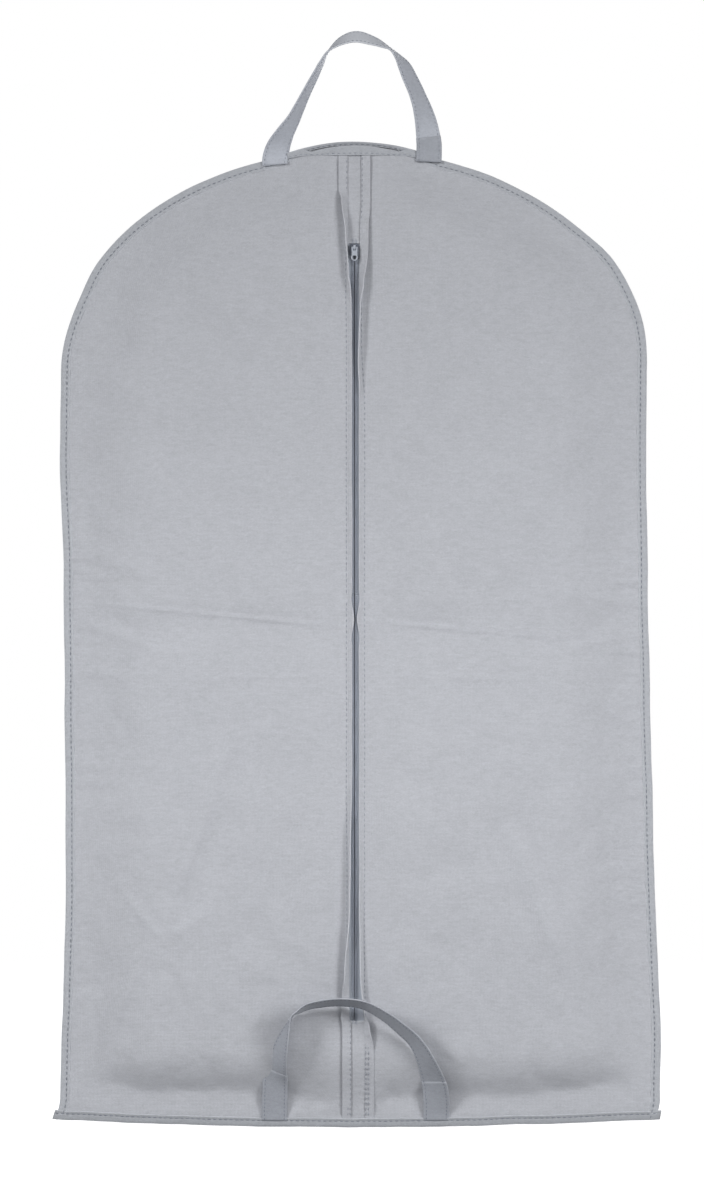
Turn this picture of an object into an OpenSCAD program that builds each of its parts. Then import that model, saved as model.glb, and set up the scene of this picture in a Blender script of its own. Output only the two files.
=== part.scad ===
// Garment bag: a flat bag of non-woven fabric with rounded shoulders, a neck opening for a hanger hook,
// a full-length front zip and a carrying handle at each end. It folds in half across its middle.
// Frame: origin at the centre of the neck opening, +Z up, the zipped front faces -Y. Millimetres.

/* [Bag] */
// Width across the bag
bag_w = 600; // [560:5:640]
// Height from the hem to the top of the neck
bag_h = 1000; // [950:10:1200]
// Height of the rounded shoulders
shoulder_h = 218; // [190:1:250]
// How far the back's neck edge rises above the shoulder curve
neck_rise = 9; // [5:1:12]
// Half-width of the risen neck edge
neck_half_w = 88; // [86:1:100]
// How far the hem dips at its middle
hem_dip = 6; // [2:1:10]
// Height of the fold line above the hem
fold_h = 510; // [480:5:520]
// Depth of the empty bag, front sheet to rim
dome_d = 18; // [16:1:24]
// Thickness of one fabric sheet
sheet_t = 0.6; // [0.4:0.1:0.8]

/* [Binding and neck] */
// Width of the bound and stitched rim
binding_w = 9.5; // [8:0.5:12]
// Thickness of the rim: both sheets and the binding folded round them
rim_t = 2.4; // [2:0.2:3]
// How far the front neck edge stands forward for a hanger hook
mouth_d = 7; // [6:0.5:9]
// Half-width of the neck opening
mouth_half_w = 62; // [55:1:65]
// How far the front neck edge sits below the back neck edge
front_neck_drop = 5; // [3:1:8]

/* [Zip] */
// Distance from the neck top to the zip's upper end
zip_top = 106; // [100:1:115]
// Length of the zip between its two patches
zip_l = 783; // [740:1:783]
// Width of one zip tape
tape_w = 12.8; // [10:0.2:14]
// Width of one coil row
coil_w = 2.4; // [2:0.1:2.6]
// Height of a coil row above its tape
coil_h = 2.2; // [1.8:0.1:2.4]
// How far the fabric lips stand forward beside the zip
lip_h = 5.5; // [4:0.5:7]

/* [Slider] */
// Length of the slider
slider_l = 12.5; // [11:0.5:14]
// Width of the slider
slider_w = 9.2; // [8.6:0.2:9.6]
// Length of the pull tab below its pivot
pull_l = 13.5; // [12:0.5:18]
// Width of the pull tab
pull_w = 7; // [6:0.2:8]
// Radius of the pull tab's pivot bar
pivot_r = 0.82; // [0.7:0.01:0.84]

/* [Handles] */
// Width of the handle strap
strap_w = 26; // [22:1:28]
// Thickness of the folded and stitched strap
strap_t = 1.6; // [1.2:0.1:2]
// Half-distance between the feet of the top handle
top_half_span = 78; // [74:1:82]
// Height of the top handle's arch
top_rise = 112; // [100:1:130]
// Half-distance between the feet of the bottom handle
bottom_half_span = 82; // [74:1:90]
// Height of the bottom handle's arch
bottom_rise = 121; // [105:1:130]
// How far the bottom handle's arch stands forward of its feet
bottom_forward = 40; // [38:1:50]

/* [Hidden] */

fabric_grey = "#b4b7bf";
binding_grey = "#a9adb5";
tape_grey = "#9aa1ab";
coil_grey = "#5f6873";
metal_grey = "#c3c8d2";

gap = 0.2;                       // running clearance between pieces on different bodies
seam_gap = 1;                    // clearance between the front panels' curved edges and the rim
neck_hem_t = 2 * sheet_t;        // the front neck edge is folded double
half_w = bag_w / 2;
inner_half_w = half_w - binding_w;
shoulder_z = -neck_rise - shoulder_h;
fold_z = fold_h - bag_h;
hem_top_z = -bag_h + hem_dip + binding_w;

// Depths along Y: the opening is centred on y = 0 and the back lies flat in one plane.
rim_front_y = (mouth_d - neck_hem_t / 2) / 2;
back_y = rim_front_y + rim_t;
front_y0 = rim_front_y - dome_d;
tape_front_y = front_y0 + sheet_t + gap;
coil_front_y = tape_front_y - coil_h;

// The slider starts under the top patch. The zip's first and last stretch stays sewn shut.
zip_end_l = slider_l + 1;
chain_top_z = -zip_top - zip_end_l;
chain_bottom_z = -zip_top - zip_l + zip_end_l;
coil_gap = 1.2;                  // space between the two coil rows, for the slider's post
pivot_z = -zip_top - 4;
pivot_y = coil_front_y - 3;

ramp = 0.3;                      // share of the half-width over which the front rises from the rim
bottom_ramp_l = 75;              // the same rise above the hem
lip_base_x = 9;
lip_reach = 4;                   // how far a lip leans in over the zip from its base
patch_half_w = lip_base_x - lip_reach - gap;

handle_pivot_z = -7;
handle_y = rim_front_y - gap - strap_t / 2;
bottom_foot_y = rim_front_y - 3.2;

arc_steps = 20;
columns = 10;
rows = 12;

function lerp(a, b, t) = a + (b - a) * t;
function clamp01(t) = min(1, max(0, t));
function smooth(t) = let (s = clamp01(t)) s * s * (3 - 2 * s);

// Height of the shoulder curve at x, inset from the bag's outline
function neck_bump(x) = neck_rise * max(0, 1 - pow(x / neck_half_w, 2));
function shoulder_curve(x, inset) =
    shoulder_z + (shoulder_h - inset) * sqrt(max(0, 1 - pow(x / (half_w - inset), 2))) + neck_bump(x);
function hem_curve(x) = -bag_h + hem_dip * pow(x / half_w, 2);

// Points along the outline from the right shoulder's foot over the top to the left one
function shoulder_points(inset) = [
    for (i = [0 : 2 * arc_steps])
        let (x = (half_w - inset) * cos(i * 90 / arc_steps)) [x, shoulder_curve(x, inset)]
];
function hem_points(lift, reach) = [
    for (i = [-arc_steps / 2 : arc_steps / 2])
        let (x = reach * 2 * i / arc_steps) [x, hem_curve(x) + lift]
];
function reversed(list) = [for (i = [len(list) - 1 : -1 : 0]) list[i]];

// The front sheet's outer surface: a shallow dome that opens forward at the neck
function mouth(x) = mouth_d * max(0, 1 - pow(x / mouth_half_w, 2));
function edge_share(x, z) =
    1 - sqrt(pow(x / inner_half_w, 2) + pow(max(0, z - shoulder_z) / (shoulder_h - binding_w), 2));
function front_y(x, z) =
    let (s = smooth(edge_share(x, z) / ramp) * smooth((z - hem_top_z) / bottom_ramp_l))
    rim_front_y - lerp(z > shoulder_z ? mouth(x) : 0, dome_d, s);

// Upper edge of the front panel at x, below the front neck hem or the shoulder binding
function front_drop(x) = front_neck_drop * max(0, 1 - pow(x / (mouth_half_w + 4), 2));
function front_top_z(x) = shoulder_curve(x, binding_w + seam_gap) - front_drop(x);

// A flat piece drawn in the XZ plane, with its rear face at y
module flat_piece(points, y, thickness) {
    translate([0, y, 0]) rotate([90, 0, 0]) linear_extrude(thickness) polygon(points);
}

// A thin shell between two grids of points; each grid's rows run up and its columns run outwards
module shell(front, back) {
    m = len(front) - 1;
    n = len(front[0]) - 1;
    size = (m + 1) * (n + 1);
    points = [for (grid = [front, back]) for (line = grid) for (p = line) p];
    f = function (i, j) i * (n + 1) + j;
    b = function (i, j) size + f(i, j);
    quads = [
        for (i = [0 : m - 1]) for (j = [0 : n - 1]) [f(i, j), f(i + 1, j), f(i + 1, j + 1), f(i, j + 1)],
        for (i = [0 : m - 1]) for (j = [0 : n - 1]) [b(i, j), b(i, j + 1), b(i + 1, j + 1), b(i + 1, j)],
        for (j = [0 : n - 1]) [f(0, j), f(0, j + 1), b(0, j + 1), b(0, j)],
        for (j = [0 : n - 1]) [f(m, j + 1), f(m, j), b(m, j), b(m, j + 1)],
        for (i = [0 : m - 1]) [f(i + 1, 0), f(i, 0), b(i, 0), b(i + 1, 0)],
        for (i = [0 : m - 1]) [f(i, n), f(i + 1, n), b(i + 1, n), b(i, n)]
    ];
    polyhedron(points, [for (q = quads) each [[q[0], q[1], q[2]], [q[0], q[2], q[3]]]]);
}

// One half of the front, on the right, between two heights, with its zip lip as the first column
module front_half(low, high) {
    outer_x = inner_half_w - seam_gap;
    xs = [for (j = [0 : columns]) lip_base_x + (outer_x - lip_base_x) * sin(90 * j / columns)];
    z_at = function (i, x) lerp(low(x), high(x), i / rows);
    outside = [
        for (i = [0 : rows]) [
            let (z = z_at(i, lip_base_x)) [lip_base_x - lip_reach + 1, front_y(lip_base_x, z) - lip_h, z],
            for (x = xs) let (z = z_at(i, x)) [x, front_y(x, z), z]
        ]
    ];
    inside = [
        for (i = [0 : rows]) [
            let (z = z_at(i, lip_base_x)) [lip_base_x - lip_reach, front_y(lip_base_x, z) - lip_h + 0.3, z],
            for (x = xs) let (z = z_at(i, x)) [x == lip_base_x ? x - 1 : x, front_y(x, z) + sheet_t, z]
        ]
    ];
    color(fabric_grey) shell(outside, inside);
}
module front_upper() {
    front_half(function (x) fold_z, function (x) front_top_z(x));
}
module front_lower() {
    front_half(function (x) hem_curve(x) + binding_w + gap, function (x) fold_z - gap);
}

module back_panel_upper() {
    color(fabric_grey) flat_piece(
        concat([[inner_half_w, fold_z]], shoulder_points(binding_w), [[-inner_half_w, fold_z]]),
        back_y, sheet_t);
}
module back_panel_lower() {
    color(fabric_grey) flat_piece(
        concat([[-inner_half_w, fold_z - gap]], hem_points(binding_w + gap, inner_half_w),
            [[inner_half_w, fold_z - gap]]),
        back_y, sheet_t);
}

// The bound rim from one end of the fold line, over the shoulders and the back of the neck, to the other
module edge_binding_upper() {
    color(binding_grey) flat_piece(
        concat([[half_w, fold_z]], shoulder_points(0), [[-half_w, fold_z], [-inner_half_w, fold_z]],
            reversed(shoulder_points(binding_w)), [[inner_half_w, fold_z]]),
        back_y, rim_t);
}
module edge_binding_lower_right() {
    low = function (x) hem_curve(x) + binding_w + gap;
    color(binding_grey) flat_piece(
        [[inner_half_w, low(inner_half_w)], [half_w, low(half_w)], [half_w, fold_z - gap],
            [inner_half_w, fold_z - gap]],
        back_y, rim_t);
}
module hem_binding() {
    color(binding_grey) flat_piece(
        concat(hem_points(0, half_w), reversed(hem_points(binding_w, half_w))), back_y, rim_t);
}

// The folded front neck edge, bowed forward so that a hanger's hook passes behind it
module neck_hem() {
    reach = mouth_half_w - 5;
    steps = 12;
    grid = function (y_shift) [
        for (lift = [gap, binding_w]) [
            for (j = [0 : steps])
                let (x = lerp(-reach, reach, j / steps))
                [x, rim_front_y - mouth(x) + y_shift, front_top_z(x) + lift]
        ]
    ];
    color(binding_grey) shell(grid(-neck_hem_t / 2), grid(neck_hem_t / 2));
}

// The fabric strips that close the front above and below the zip
module zip_patch(low_z, high_z) {
    steps = 6;
    grid = function (y_shift) [
        for (i = [0 : steps])
            let (z = lerp(low_z, high_z, i / steps))
            [for (x = [-patch_half_w, patch_half_w]) [x, front_y(0, z) + y_shift, z]]
    ];
    color(fabric_grey) shell(grid(0), grid(sheet_t));
}
module top_zip_patch() {
    zip_patch(-zip_top + gap, front_top_z(0));
}
module bottom_zip_patch() {
    zip_patch(hem_curve(0) + binding_w + gap, -zip_top - zip_l - gap);
}

// Right-hand tape and coil row between two heights
module tape(low_z, high_z) {
    color(tape_grey) translate([coil_gap, tape_front_y, low_z]) cube([tape_w, sheet_t, high_z - low_z]);
}
module coil(low_z, high_z) {
    color(coil_grey) translate([coil_gap / 2, coil_front_y, low_z]) cube([coil_w, coil_h, high_z - low_z]);
}
module left_and_right() {
    children();
    mirror([1, 0, 0]) children();
}
module zip_end(low_z, high_z) {
    left_and_right() {
        tape(low_z, high_z);
        coil(low_z, high_z);
    }
}

// The slider: two plates joined by a post between the coil rows, with side flanges and a bridge
module zip_slider() {
    clear = 0.3;
    plate_t = 1.1;
    top_z = -zip_top - 0.5;
    plate_y = coil_front_y - clear;
    back_plate_y = tape_front_y + sheet_t + clear;
    flange_x = coil_gap / 2 + coil_w + clear;
    rib_w = 2.4;
    rib_l = 5;
    color(metal_grey) difference() {
        union() {
            translate([-slider_w / 2, plate_y - plate_t, top_z - slider_l]) cube([slider_w, plate_t, slider_l]);
            translate([-slider_w / 2, back_plate_y, top_z - slider_l]) cube([slider_w, 1, slider_l]);
            translate([-0.5, plate_y - plate_t / 2, top_z - 4])
                cube([1, back_plate_y - plate_y + plate_t, 4]);
            left_and_right() translate([flange_x, plate_y - plate_t / 2, top_z - slider_l])
                cube([slider_w / 2 - flange_x, tape_front_y - clear - plate_y + plate_t / 2, slider_l]);
            translate([-rib_w / 2, pivot_y - 1.7, pivot_z - rib_l / 2])
                cube([rib_w, plate_y - pivot_y + 1.2, rib_l]);
        }
        translate([-slider_w, pivot_y, pivot_z]) rotate([0, 90, 0])
            cylinder(h = 2 * slider_w, r = pivot_r + 0.08, $fn = 32);
    }
}

// The pull tab: a plate with an eye at its free end, forked round the slider's bridge on a pivot bar
module zip_pull() {
    plate_t = 1.4;
    fork_w = 3;
    fork_l = 3.2;
    eye_r = 1.5;
    end_r = pull_w / 2;
    color(metal_grey) {
        difference() {
            translate([0, pivot_y + plate_t / 2, pivot_z]) rotate([90, 0, 0]) linear_extrude(plate_t) union() {
                translate([-end_r, end_r - pull_l]) square([pull_w, pull_l - end_r + 0.6]);
                translate([0, end_r - pull_l]) circle(end_r, $fn = 48);
            }
            translate([-fork_w / 2, pivot_y - plate_t, pivot_z - fork_l])
                cube([fork_w, 2 * plate_t, fork_l + 2]);
            translate([0, pivot_y + plate_t, pivot_z + end_r - pull_l]) rotate([90, 0, 0])
                cylinder(h = 2 * plate_t, r = eye_r, $fn = 32);
        }
        translate([-end_r, pivot_y, pivot_z]) rotate([0, 90, 0])
            cylinder(h = pull_w, r = pivot_r, $fn = 32);
    }
}

// A strap that leaves its feet flat and turns edge-on towards the top of its arch.
// peak shapes the arch: 1 is an ellipse, 2 a parabola. forward is how far the arch stands off.
module strap_arch(half_span, height, peak, forward) {
    steps = 28;
    start = 0.01;
    at = function (t) [-half_span * cos(180 * t), 0, height * pow(sin(180 * t), peak)];
    section = function (k)
        let (
            t = lerp(start, 1 - start, k / steps),
            d = at(min(t + start, 1)) - at(max(t - start, 0)),
            tangent = d / norm(d),
            inward = [tangent[2], 0, -tangent[0]],
            turn = 90 * smooth(1.4 * sin(180 * t) - 0.2),
            across = cos(turn) * inward - sin(turn) * [0, 1, 0],
            centre = at(t) - [0, forward * smooth(1.5 * sin(180 * t)), 0],
            through = cross(tangent, across)
        )
        [
            for (side = [-1, 1]) for (face = [-1, 1])
                centre + side * strap_w / 2 * across + side * face * strap_t / 2 * through
        ];
    sections = [for (k = [0 : steps]) section(k)];
    ring = [
        for (k = [0 : steps - 1]) for (c = [0 : 3])
            let (a = 4 * k + c, b = 4 * k + (c + 1) % 4) each [[a, b, b + 4], [a, b + 4, a + 4]]
    ];
    last = 4 * steps;
    caps = [[0, 2, 1], [0, 3, 2], [last, last + 1, last + 2], [last, last + 2, last + 3]];
    polyhedron([for (s = sections) each s], concat(ring, caps));
}
module top_handle() {
    // Nothing reaches below the pivot line, where it would swing back through the rim
    color(fabric_grey) translate([0, handle_y, handle_pivot_z]) intersection() {
        strap_arch(top_half_span, top_rise, 2, 8);
        translate([-bag_w / 2, -bag_w / 2, 0]) cube(bag_w);
    }
}
module top_handle_feet() {
    inner_x = top_half_span - strap_w / 2;
    foot_z = shoulder_curve(inner_x, binding_w);
    color(fabric_grey) left_and_right()
        translate([inner_x, handle_y - strap_t / 2, foot_z])
            cube([strap_w, strap_t, handle_pivot_z - strap_w / 5 - foot_z]);
}
module bottom_handle() {
    foot_z = hem_curve(bottom_half_span) + binding_w + gap;
    color(fabric_grey) translate([0, bottom_foot_y, foot_z])
        strap_arch(bottom_half_span, bottom_rise, 1, bottom_forward);
}

back_panel_upper();
back_panel_lower();
edge_binding_upper();
mirror([1, 0, 0]) edge_binding_lower_right();  // edge_binding_lower_left
edge_binding_lower_right();
hem_binding();
neck_hem();
mirror([1, 0, 0]) front_upper();  // front_panel_left_upper
front_upper();  // front_panel_right_upper
mirror([1, 0, 0]) front_lower();  // front_panel_left_lower
front_lower();  // front_panel_right_lower
top_zip_patch();
bottom_zip_patch();
zip_end(chain_top_z + gap, -zip_top);  // zip_top_end
zip_end(-zip_top - zip_l, chain_bottom_z - gap);  // zip_bottom_end
mirror([1, 0, 0]) tape(fold_z, chain_top_z);  // zip_tape_left_upper
tape(fold_z, chain_top_z);  // zip_tape_right_upper
mirror([1, 0, 0]) tape(chain_bottom_z, fold_z - gap);  // zip_tape_left_lower
tape(chain_bottom_z, fold_z - gap);  // zip_tape_right_lower
mirror([1, 0, 0]) coil(fold_z, chain_top_z);  // zip_coil_left_upper
coil(fold_z, chain_top_z);  // zip_coil_right_upper
mirror([1, 0, 0]) coil(chain_bottom_z, fold_z - gap);  // zip_coil_left_lower
coil(chain_bottom_z, fold_z - gap);  // zip_coil_right_lower
zip_slider();
zip_pull();
top_handle();
top_handle_feet();
bottom_handle();
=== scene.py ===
"""Looks of the garment bag: fabric sheets, bindings, zip, handles and stitching over the CAD frame."""
import math

import bmesh
import bpy
import numpy as np
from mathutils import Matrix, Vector, noise

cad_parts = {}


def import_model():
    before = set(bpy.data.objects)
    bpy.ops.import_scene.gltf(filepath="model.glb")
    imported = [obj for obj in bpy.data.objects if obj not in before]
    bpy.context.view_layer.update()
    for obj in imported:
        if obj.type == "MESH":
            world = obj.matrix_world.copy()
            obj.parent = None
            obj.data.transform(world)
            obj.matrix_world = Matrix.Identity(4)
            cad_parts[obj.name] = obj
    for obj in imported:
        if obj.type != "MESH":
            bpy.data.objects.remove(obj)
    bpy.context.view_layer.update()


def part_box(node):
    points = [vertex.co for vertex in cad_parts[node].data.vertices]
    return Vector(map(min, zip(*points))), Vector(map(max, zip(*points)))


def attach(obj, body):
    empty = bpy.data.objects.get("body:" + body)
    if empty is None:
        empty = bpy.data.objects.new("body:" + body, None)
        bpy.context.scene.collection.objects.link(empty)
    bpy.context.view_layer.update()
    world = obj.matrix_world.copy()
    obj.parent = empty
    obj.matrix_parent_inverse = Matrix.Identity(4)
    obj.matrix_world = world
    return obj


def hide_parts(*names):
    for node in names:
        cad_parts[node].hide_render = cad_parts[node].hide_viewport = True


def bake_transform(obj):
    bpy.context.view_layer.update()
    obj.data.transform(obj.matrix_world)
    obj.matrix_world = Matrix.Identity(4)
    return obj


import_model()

MM = 0.001
FORWARD = (0.0, -1.0, 0.0)

# ---- places taken from the frame (metres)

BAG_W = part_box("hem_binding")[1].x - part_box("hem_binding")[0].x
HEM_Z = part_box("hem_binding")[0].z
NECK_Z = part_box("edge_binding_upper")[1].z
REAR_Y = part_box("back_panel_upper")[1].y
RIM_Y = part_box("edge_binding_upper")[0].y
TAPE_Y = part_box("zip_tape_left_upper")[0].y
COIL_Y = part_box("zip_coil_left_upper")[0].y
FRONT_Y = TAPE_Y - 0.8 * MM
ZIP_TOP_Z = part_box("zip_top_end")[1].z
ZIP_BOTTOM_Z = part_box("zip_bottom_end")[0].z
CHAIN_TOP_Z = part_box("zip_coil_left_upper")[1].z
CHAIN_BOTTOM_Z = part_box("zip_coil_left_lower")[0].z
FOLD_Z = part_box("back_panel_upper")[0].z
HANDLE_Y = 0.5 * (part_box("top_handle_feet")[0].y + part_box("top_handle_feet")[1].y)

# ---- sizes of the soft goods (metres)

SIDE_HALF_W = 0.5 * BAG_W - 4 * MM      # the sides run straight, then flare towards the hem
FLARE = 8 * MM
FLARE_TOP_Z = HEM_Z + 240 * MM
SHOULDER_H = 218 * MM
NECK_RISE = 9 * MM
NECK_HALF_W = 88 * MM
SHOULDER_Z = NECK_Z - NECK_RISE - SHOULDER_H
BINDING_W = 9.4 * MM
SEAM_IN = 0.68 * BINDING_W              # from a binding's outer edge to its stitches
RIM_T = REAR_Y - RIM_Y
HEM_DIP = 8 * MM
HEM_OVERHANG = 3.5 * MM                 # the hem strip's ends stand out past the sides
SHEET_T = 0.5 * MM
STRAP_W = 25.6 * MM
STRAP_T = 1.7 * MM
SEAM_DENT = 0.72                        # share of a strap's thickness that is left under its stitches
STITCH_L = 3.6 * MM
STITCH_PITCH = 5.6 * MM
THREAD_R = 0.36 * MM
THREAD_LIFT = 0.12 * MM
DEPTH = RIM_Y - FRONT_Y                 # how far the front stands off the rim


def lerp(a, b, t):
    return a + (b - a) * t


def smooth(t):
    t = np.clip(t, 0.0, 1.0)
    return t * t * (3.0 - 2.0 * t)


def span(value, low, high):
    """Smooth step of value from low to high."""
    return smooth((value - low) / (high - low))


def bell(value, centre, width):
    return np.exp(-((value - centre) / width) ** 2)


def unit(vectors):
    return vectors / np.maximum(np.linalg.norm(vectors, axis=-1, keepdims=True), 1e-12)


def tangents(path):
    return unit(np.gradient(path, axis=0))


# ---- smooth procedural unevenness of cloth

def fractal(x, z, scale, seed, octaves=3):
    """Gentle noise between about -1 and 1, at the points (x, z), with features of the given scale."""
    flat_x = np.ravel(x) / scale
    flat_z = np.ravel(z) / scale
    values = [
        noise.fractal(Vector((a, b, seed)), 0.9, 2.1, octaves) for a, b in zip(flat_x, flat_z)
    ]
    return np.array(values).reshape(np.shape(x))


def crease(x, z, start, end, width, height, skew=0.35):
    """A soft ridge along the line from start to end, steeper on one side and fading at both ends."""
    a = np.array(start, float)
    d = np.array(end, float) - a
    length = np.hypot(*d)
    d = d / length
    along = ((x - a[0]) * d[0] + (z - a[1]) * d[1]) / length
    off = (x - a[0]) * -d[1] + (z - a[1]) * d[0]
    fade = smooth(along / 0.3) * smooth((1.0 - along) / 0.3)
    ridge = np.exp(-(off / width) ** 2) - skew * np.exp(-((off - 1.6 * width) / (1.4 * width)) ** 2)
    return height * ridge * fade


# ---- outline of the bag

def half_width(z):
    return SIDE_HALF_W + FLARE * span(FLARE_TOP_Z - z, 0.0, FLARE_TOP_Z - HEM_Z)


def hem_z(x):
    return HEM_Z + HEM_DIP * (x / (0.5 * BAG_W)) ** 2


def shoulder_z(x, inset=0.0):
    """Height of the shoulder curve at x, inset from the outline."""
    share = np.clip(1.0 - (x / (SIDE_HALF_W - inset)) ** 2, 0.0, 1.0)
    bump = NECK_RISE * np.clip(1.0 - (x / NECK_HALF_W) ** 2, 0.0, 1.0)
    return SHOULDER_Z + (SHOULDER_H - inset) * np.sqrt(share) + bump


def side_path(step=3 * MM):
    """The outline from the right hem corner, over the shoulders, to the left hem corner, evenly spaced."""
    side = [(float(half_width(z)), float(z)) for z in np.linspace(HEM_Z + HEM_DIP, SHOULDER_Z, 300)]
    arc = []
    for angle in np.linspace(0.0, math.pi, 900)[1:-1]:
        x = SIDE_HALF_W * math.cos(angle)
        arc.append((x, float(shoulder_z(x))))
    points = np.array(side + arc + [(-x, z) for x, z in reversed(side)])
    return resample(points, step)


def run_lengths(points):
    """Distance along a path to each of its points."""
    return np.concatenate([[0.0], np.cumsum(np.linalg.norm(np.diff(points, axis=0), axis=1))])


def at_stations(stations, lengths, values):
    """Rows of values, known at the given lengths, read off at stations between them."""
    return np.stack([np.interp(stations, lengths, column) for column in values.T], 1)


def resample(points, step):
    lengths = run_lengths(points)
    count = max(2, int(round(lengths[-1] / step)) + 1)
    return at_stations(np.linspace(0.0, lengths[-1], count), lengths, points)


def edge_share(x, z):
    up = np.clip(z - SHOULDER_Z, 0.0, None) / (SHOULDER_H - BINDING_W)
    return 1.0 - np.sqrt((x / (half_width(z) - BINDING_W)) ** 2 + up ** 2)


def rim_distance(x, z):
    """Distance from the bag's outline to the point (x, z), true to first order."""
    x = np.abs(x)
    up = z - NECK_RISE * np.clip(1.0 - (x / NECK_HALF_W) ** 2, 0.0, 1.0) - SHOULDER_Z
    reach = np.sqrt((x / SIDE_HALF_W) ** 2 + (up / SHOULDER_H) ** 2)
    slope = np.sqrt((x / SIDE_HALF_W ** 2) ** 2 + (up / SHOULDER_H ** 2) ** 2)
    rounded = (1.0 - reach) * reach / np.maximum(slope, 1e-6)
    return np.minimum(np.where(up > 0.0, rounded, half_width(z) - x), z - hem_z(x))


def rim_station(x, z):
    """Distance along the outline, so that gathers run across it."""
    up = z - SHOULDER_Z
    mean_radius = 0.5 * (SIDE_HALF_W + SHOULDER_H)
    turned = mean_radius * np.arctan2(up / SHOULDER_H, np.abs(x) / SIDE_HALF_W)
    return np.where(up > 0.0, turned, up)


MOUTH_D = RIM_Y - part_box("neck_hem")[0].y
MOUTH_HALF_W = 62 * MM


def mouth(x):
    """How far the front neck edge stands forward for a hanger hook."""
    return MOUTH_D * np.clip(1.0 - (x / MOUTH_HALF_W) ** 2, 0.0, 1.0)


def front_y(x, z):
    """The front sheet's shallow dome, without wrinkles."""
    share = smooth(edge_share(x, z) / 0.3) * smooth((z - hem_z(x) - BINDING_W) / (72 * MM))
    base = np.where(z > SHOULDER_Z, mouth(x), 0.0)
    pinch = 1.0 - 0.16 * bell(z, FOLD_Z, 22 * MM) * span(np.abs(x), 16 * MM, 60 * MM)
    return RIM_Y - lerp(base, DEPTH, share) * pinch


def wrinkles(x, z, seed):
    """Forward displacement of the loose fabric, zero at its sewn edges."""
    free = smooth(edge_share(x, z) / 0.12) * smooth((z - hem_z(x) - BINDING_W) / (30 * MM))
    zip_calm = smooth((np.abs(x) - 9 * MM) / (40 * MM))
    big = 2.2 * fractal(x, z * 0.8, 150 * MM, seed)
    ridged = 3.0 * np.abs(fractal(x, z * 0.9, 95 * MM, seed + 7.0)) ** 0.8
    middle = 0.8 * fractal(x, z, 52 * MM, seed + 11.0)
    fine = 0.12 * fractal(x, z, 17 * MM, seed + 23.0, 2)
    along_zip = 0.8 * bell(np.abs(x), 42 * MM, 24 * MM) * fractal(x * 0.4, z, 120 * MM, seed + 31.0, 2)
    return (big + ridged + middle + fine + along_zip) * free * zip_calm * MM


def pleats(x, z, seed):
    """Short folds that the gathered seam sends into the panel, in groups, and tiny ones at its stitches."""
    d = rim_distance(x, z)
    along = rim_station(x, z)
    at_hem = 1.0 - span(z - hem_z(x), 12 * MM, 60 * MM)
    across = lerp(along, x, at_hem)
    group = 0.35 + 0.65 * span(fractal(0 * d, across, 95 * MM, seed + 3.0, 2), -0.15, 0.35)
    waist = 0.6 + 0.4 * bell(z, FOLD_Z + 10 * MM, 120 * MM)
    long_folds = fractal(d * 0.2, across, 10 * MM, seed + 41.0, 2)
    long_folds = long_folds * np.exp(-d / (34 * MM)) * span(d, 0.0, 16 * MM)
    short_folds = fractal(d * 0.5, across, 6 * MM, seed + 43.0, 1) * bell(d, 12 * MM, 7 * MM)
    return MM * group * waist * (4.2 * long_folds + 0.35 * short_folds)


LEAN_HEIGHTS = [-1.0, -0.97, -0.89, -0.81, -0.69, -0.57, -0.44, -0.32, -0.24, -0.16, -0.12, -0.08, -0.04]
LEAN_RIGHT = [1.5, 6.5, 10.0, 10.0, 7.0, 4.0, 1.5, 0.0, 0.5, 3.0, 5.0, -1.0, -3.0]
LEAN_LEFT = [0.0, 5.0, 4.0, 3.0, 3.0, 2.0, 1.0, -3.0, -2.0, 2.5, -1.0, -1.0, -1.0]


def steps(value, places, shares):
    """Shares at given places, joined by soft ramps."""
    return sum(
        (after - before) * span(value, start, end)
        for start, end, before, after in zip(places, places[1:], shares, shares[1:])
    ) + shares[0]


def leaned(verts):
    """The limp bag hangs a little askew: its sides stray by a few millimetres, its middle doesn't."""
    verts = np.array(verts, float)
    x, z = verts[:, 0], verts[:, 2]
    stray = np.where(x > 0.0, steps(z, LEAN_HEIGHTS, LEAN_RIGHT), steps(z, LEAN_HEIGHTS, LEAN_LEFT))
    verts[:, 0] = x + stray * MM * span(np.abs(x), 0.05, 0.27)
    return verts


# ---- meshes

def placed(name, data):
    """A new object with this data, in the scene."""
    piece = bpy.data.objects.new(name, data)
    bpy.context.scene.collection.objects.link(piece)
    return piece


def mesh_piece(name, verts, faces, material, askew=True):
    mesh = bpy.data.meshes.new(name)
    verts = leaned(verts) if askew else verts
    mesh.from_pydata([tuple(map(float, v)) for v in verts], [], [tuple(int(i) for i in f) for f in faces])
    mesh.validate()
    mesh.update()
    mesh.materials.append(material)
    mesh.polygons.foreach_set("use_smooth", [True] * len(mesh.polygons))
    return placed(name, mesh)


def paint_highlight(piece, amounts):
    """Marks how strong a painted highlight along folded edges is, from 0 to 1 at each vertex."""
    mark = piece.data.attributes.new("fold_highlight", "FLOAT", "POINT")
    mark.data.foreach_set("value", np.asarray(amounts, np.float32).ravel())


def grid_normals(grid):
    along = np.gradient(grid, axis=0)
    across = np.gradient(grid, axis=1)
    return unit(np.cross(across, along))


def grid_faces(rows, cols, offset=0, flip=False):
    i, j = np.meshgrid(np.arange(rows - 1), np.arange(cols - 1), indexing="ij")
    a = offset + i * cols + j
    quads = np.stack([a, a + 1, a + cols + 1, a + cols], -1).reshape(-1, 4)
    return quads[:, ::-1] if flip else quads


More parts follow.
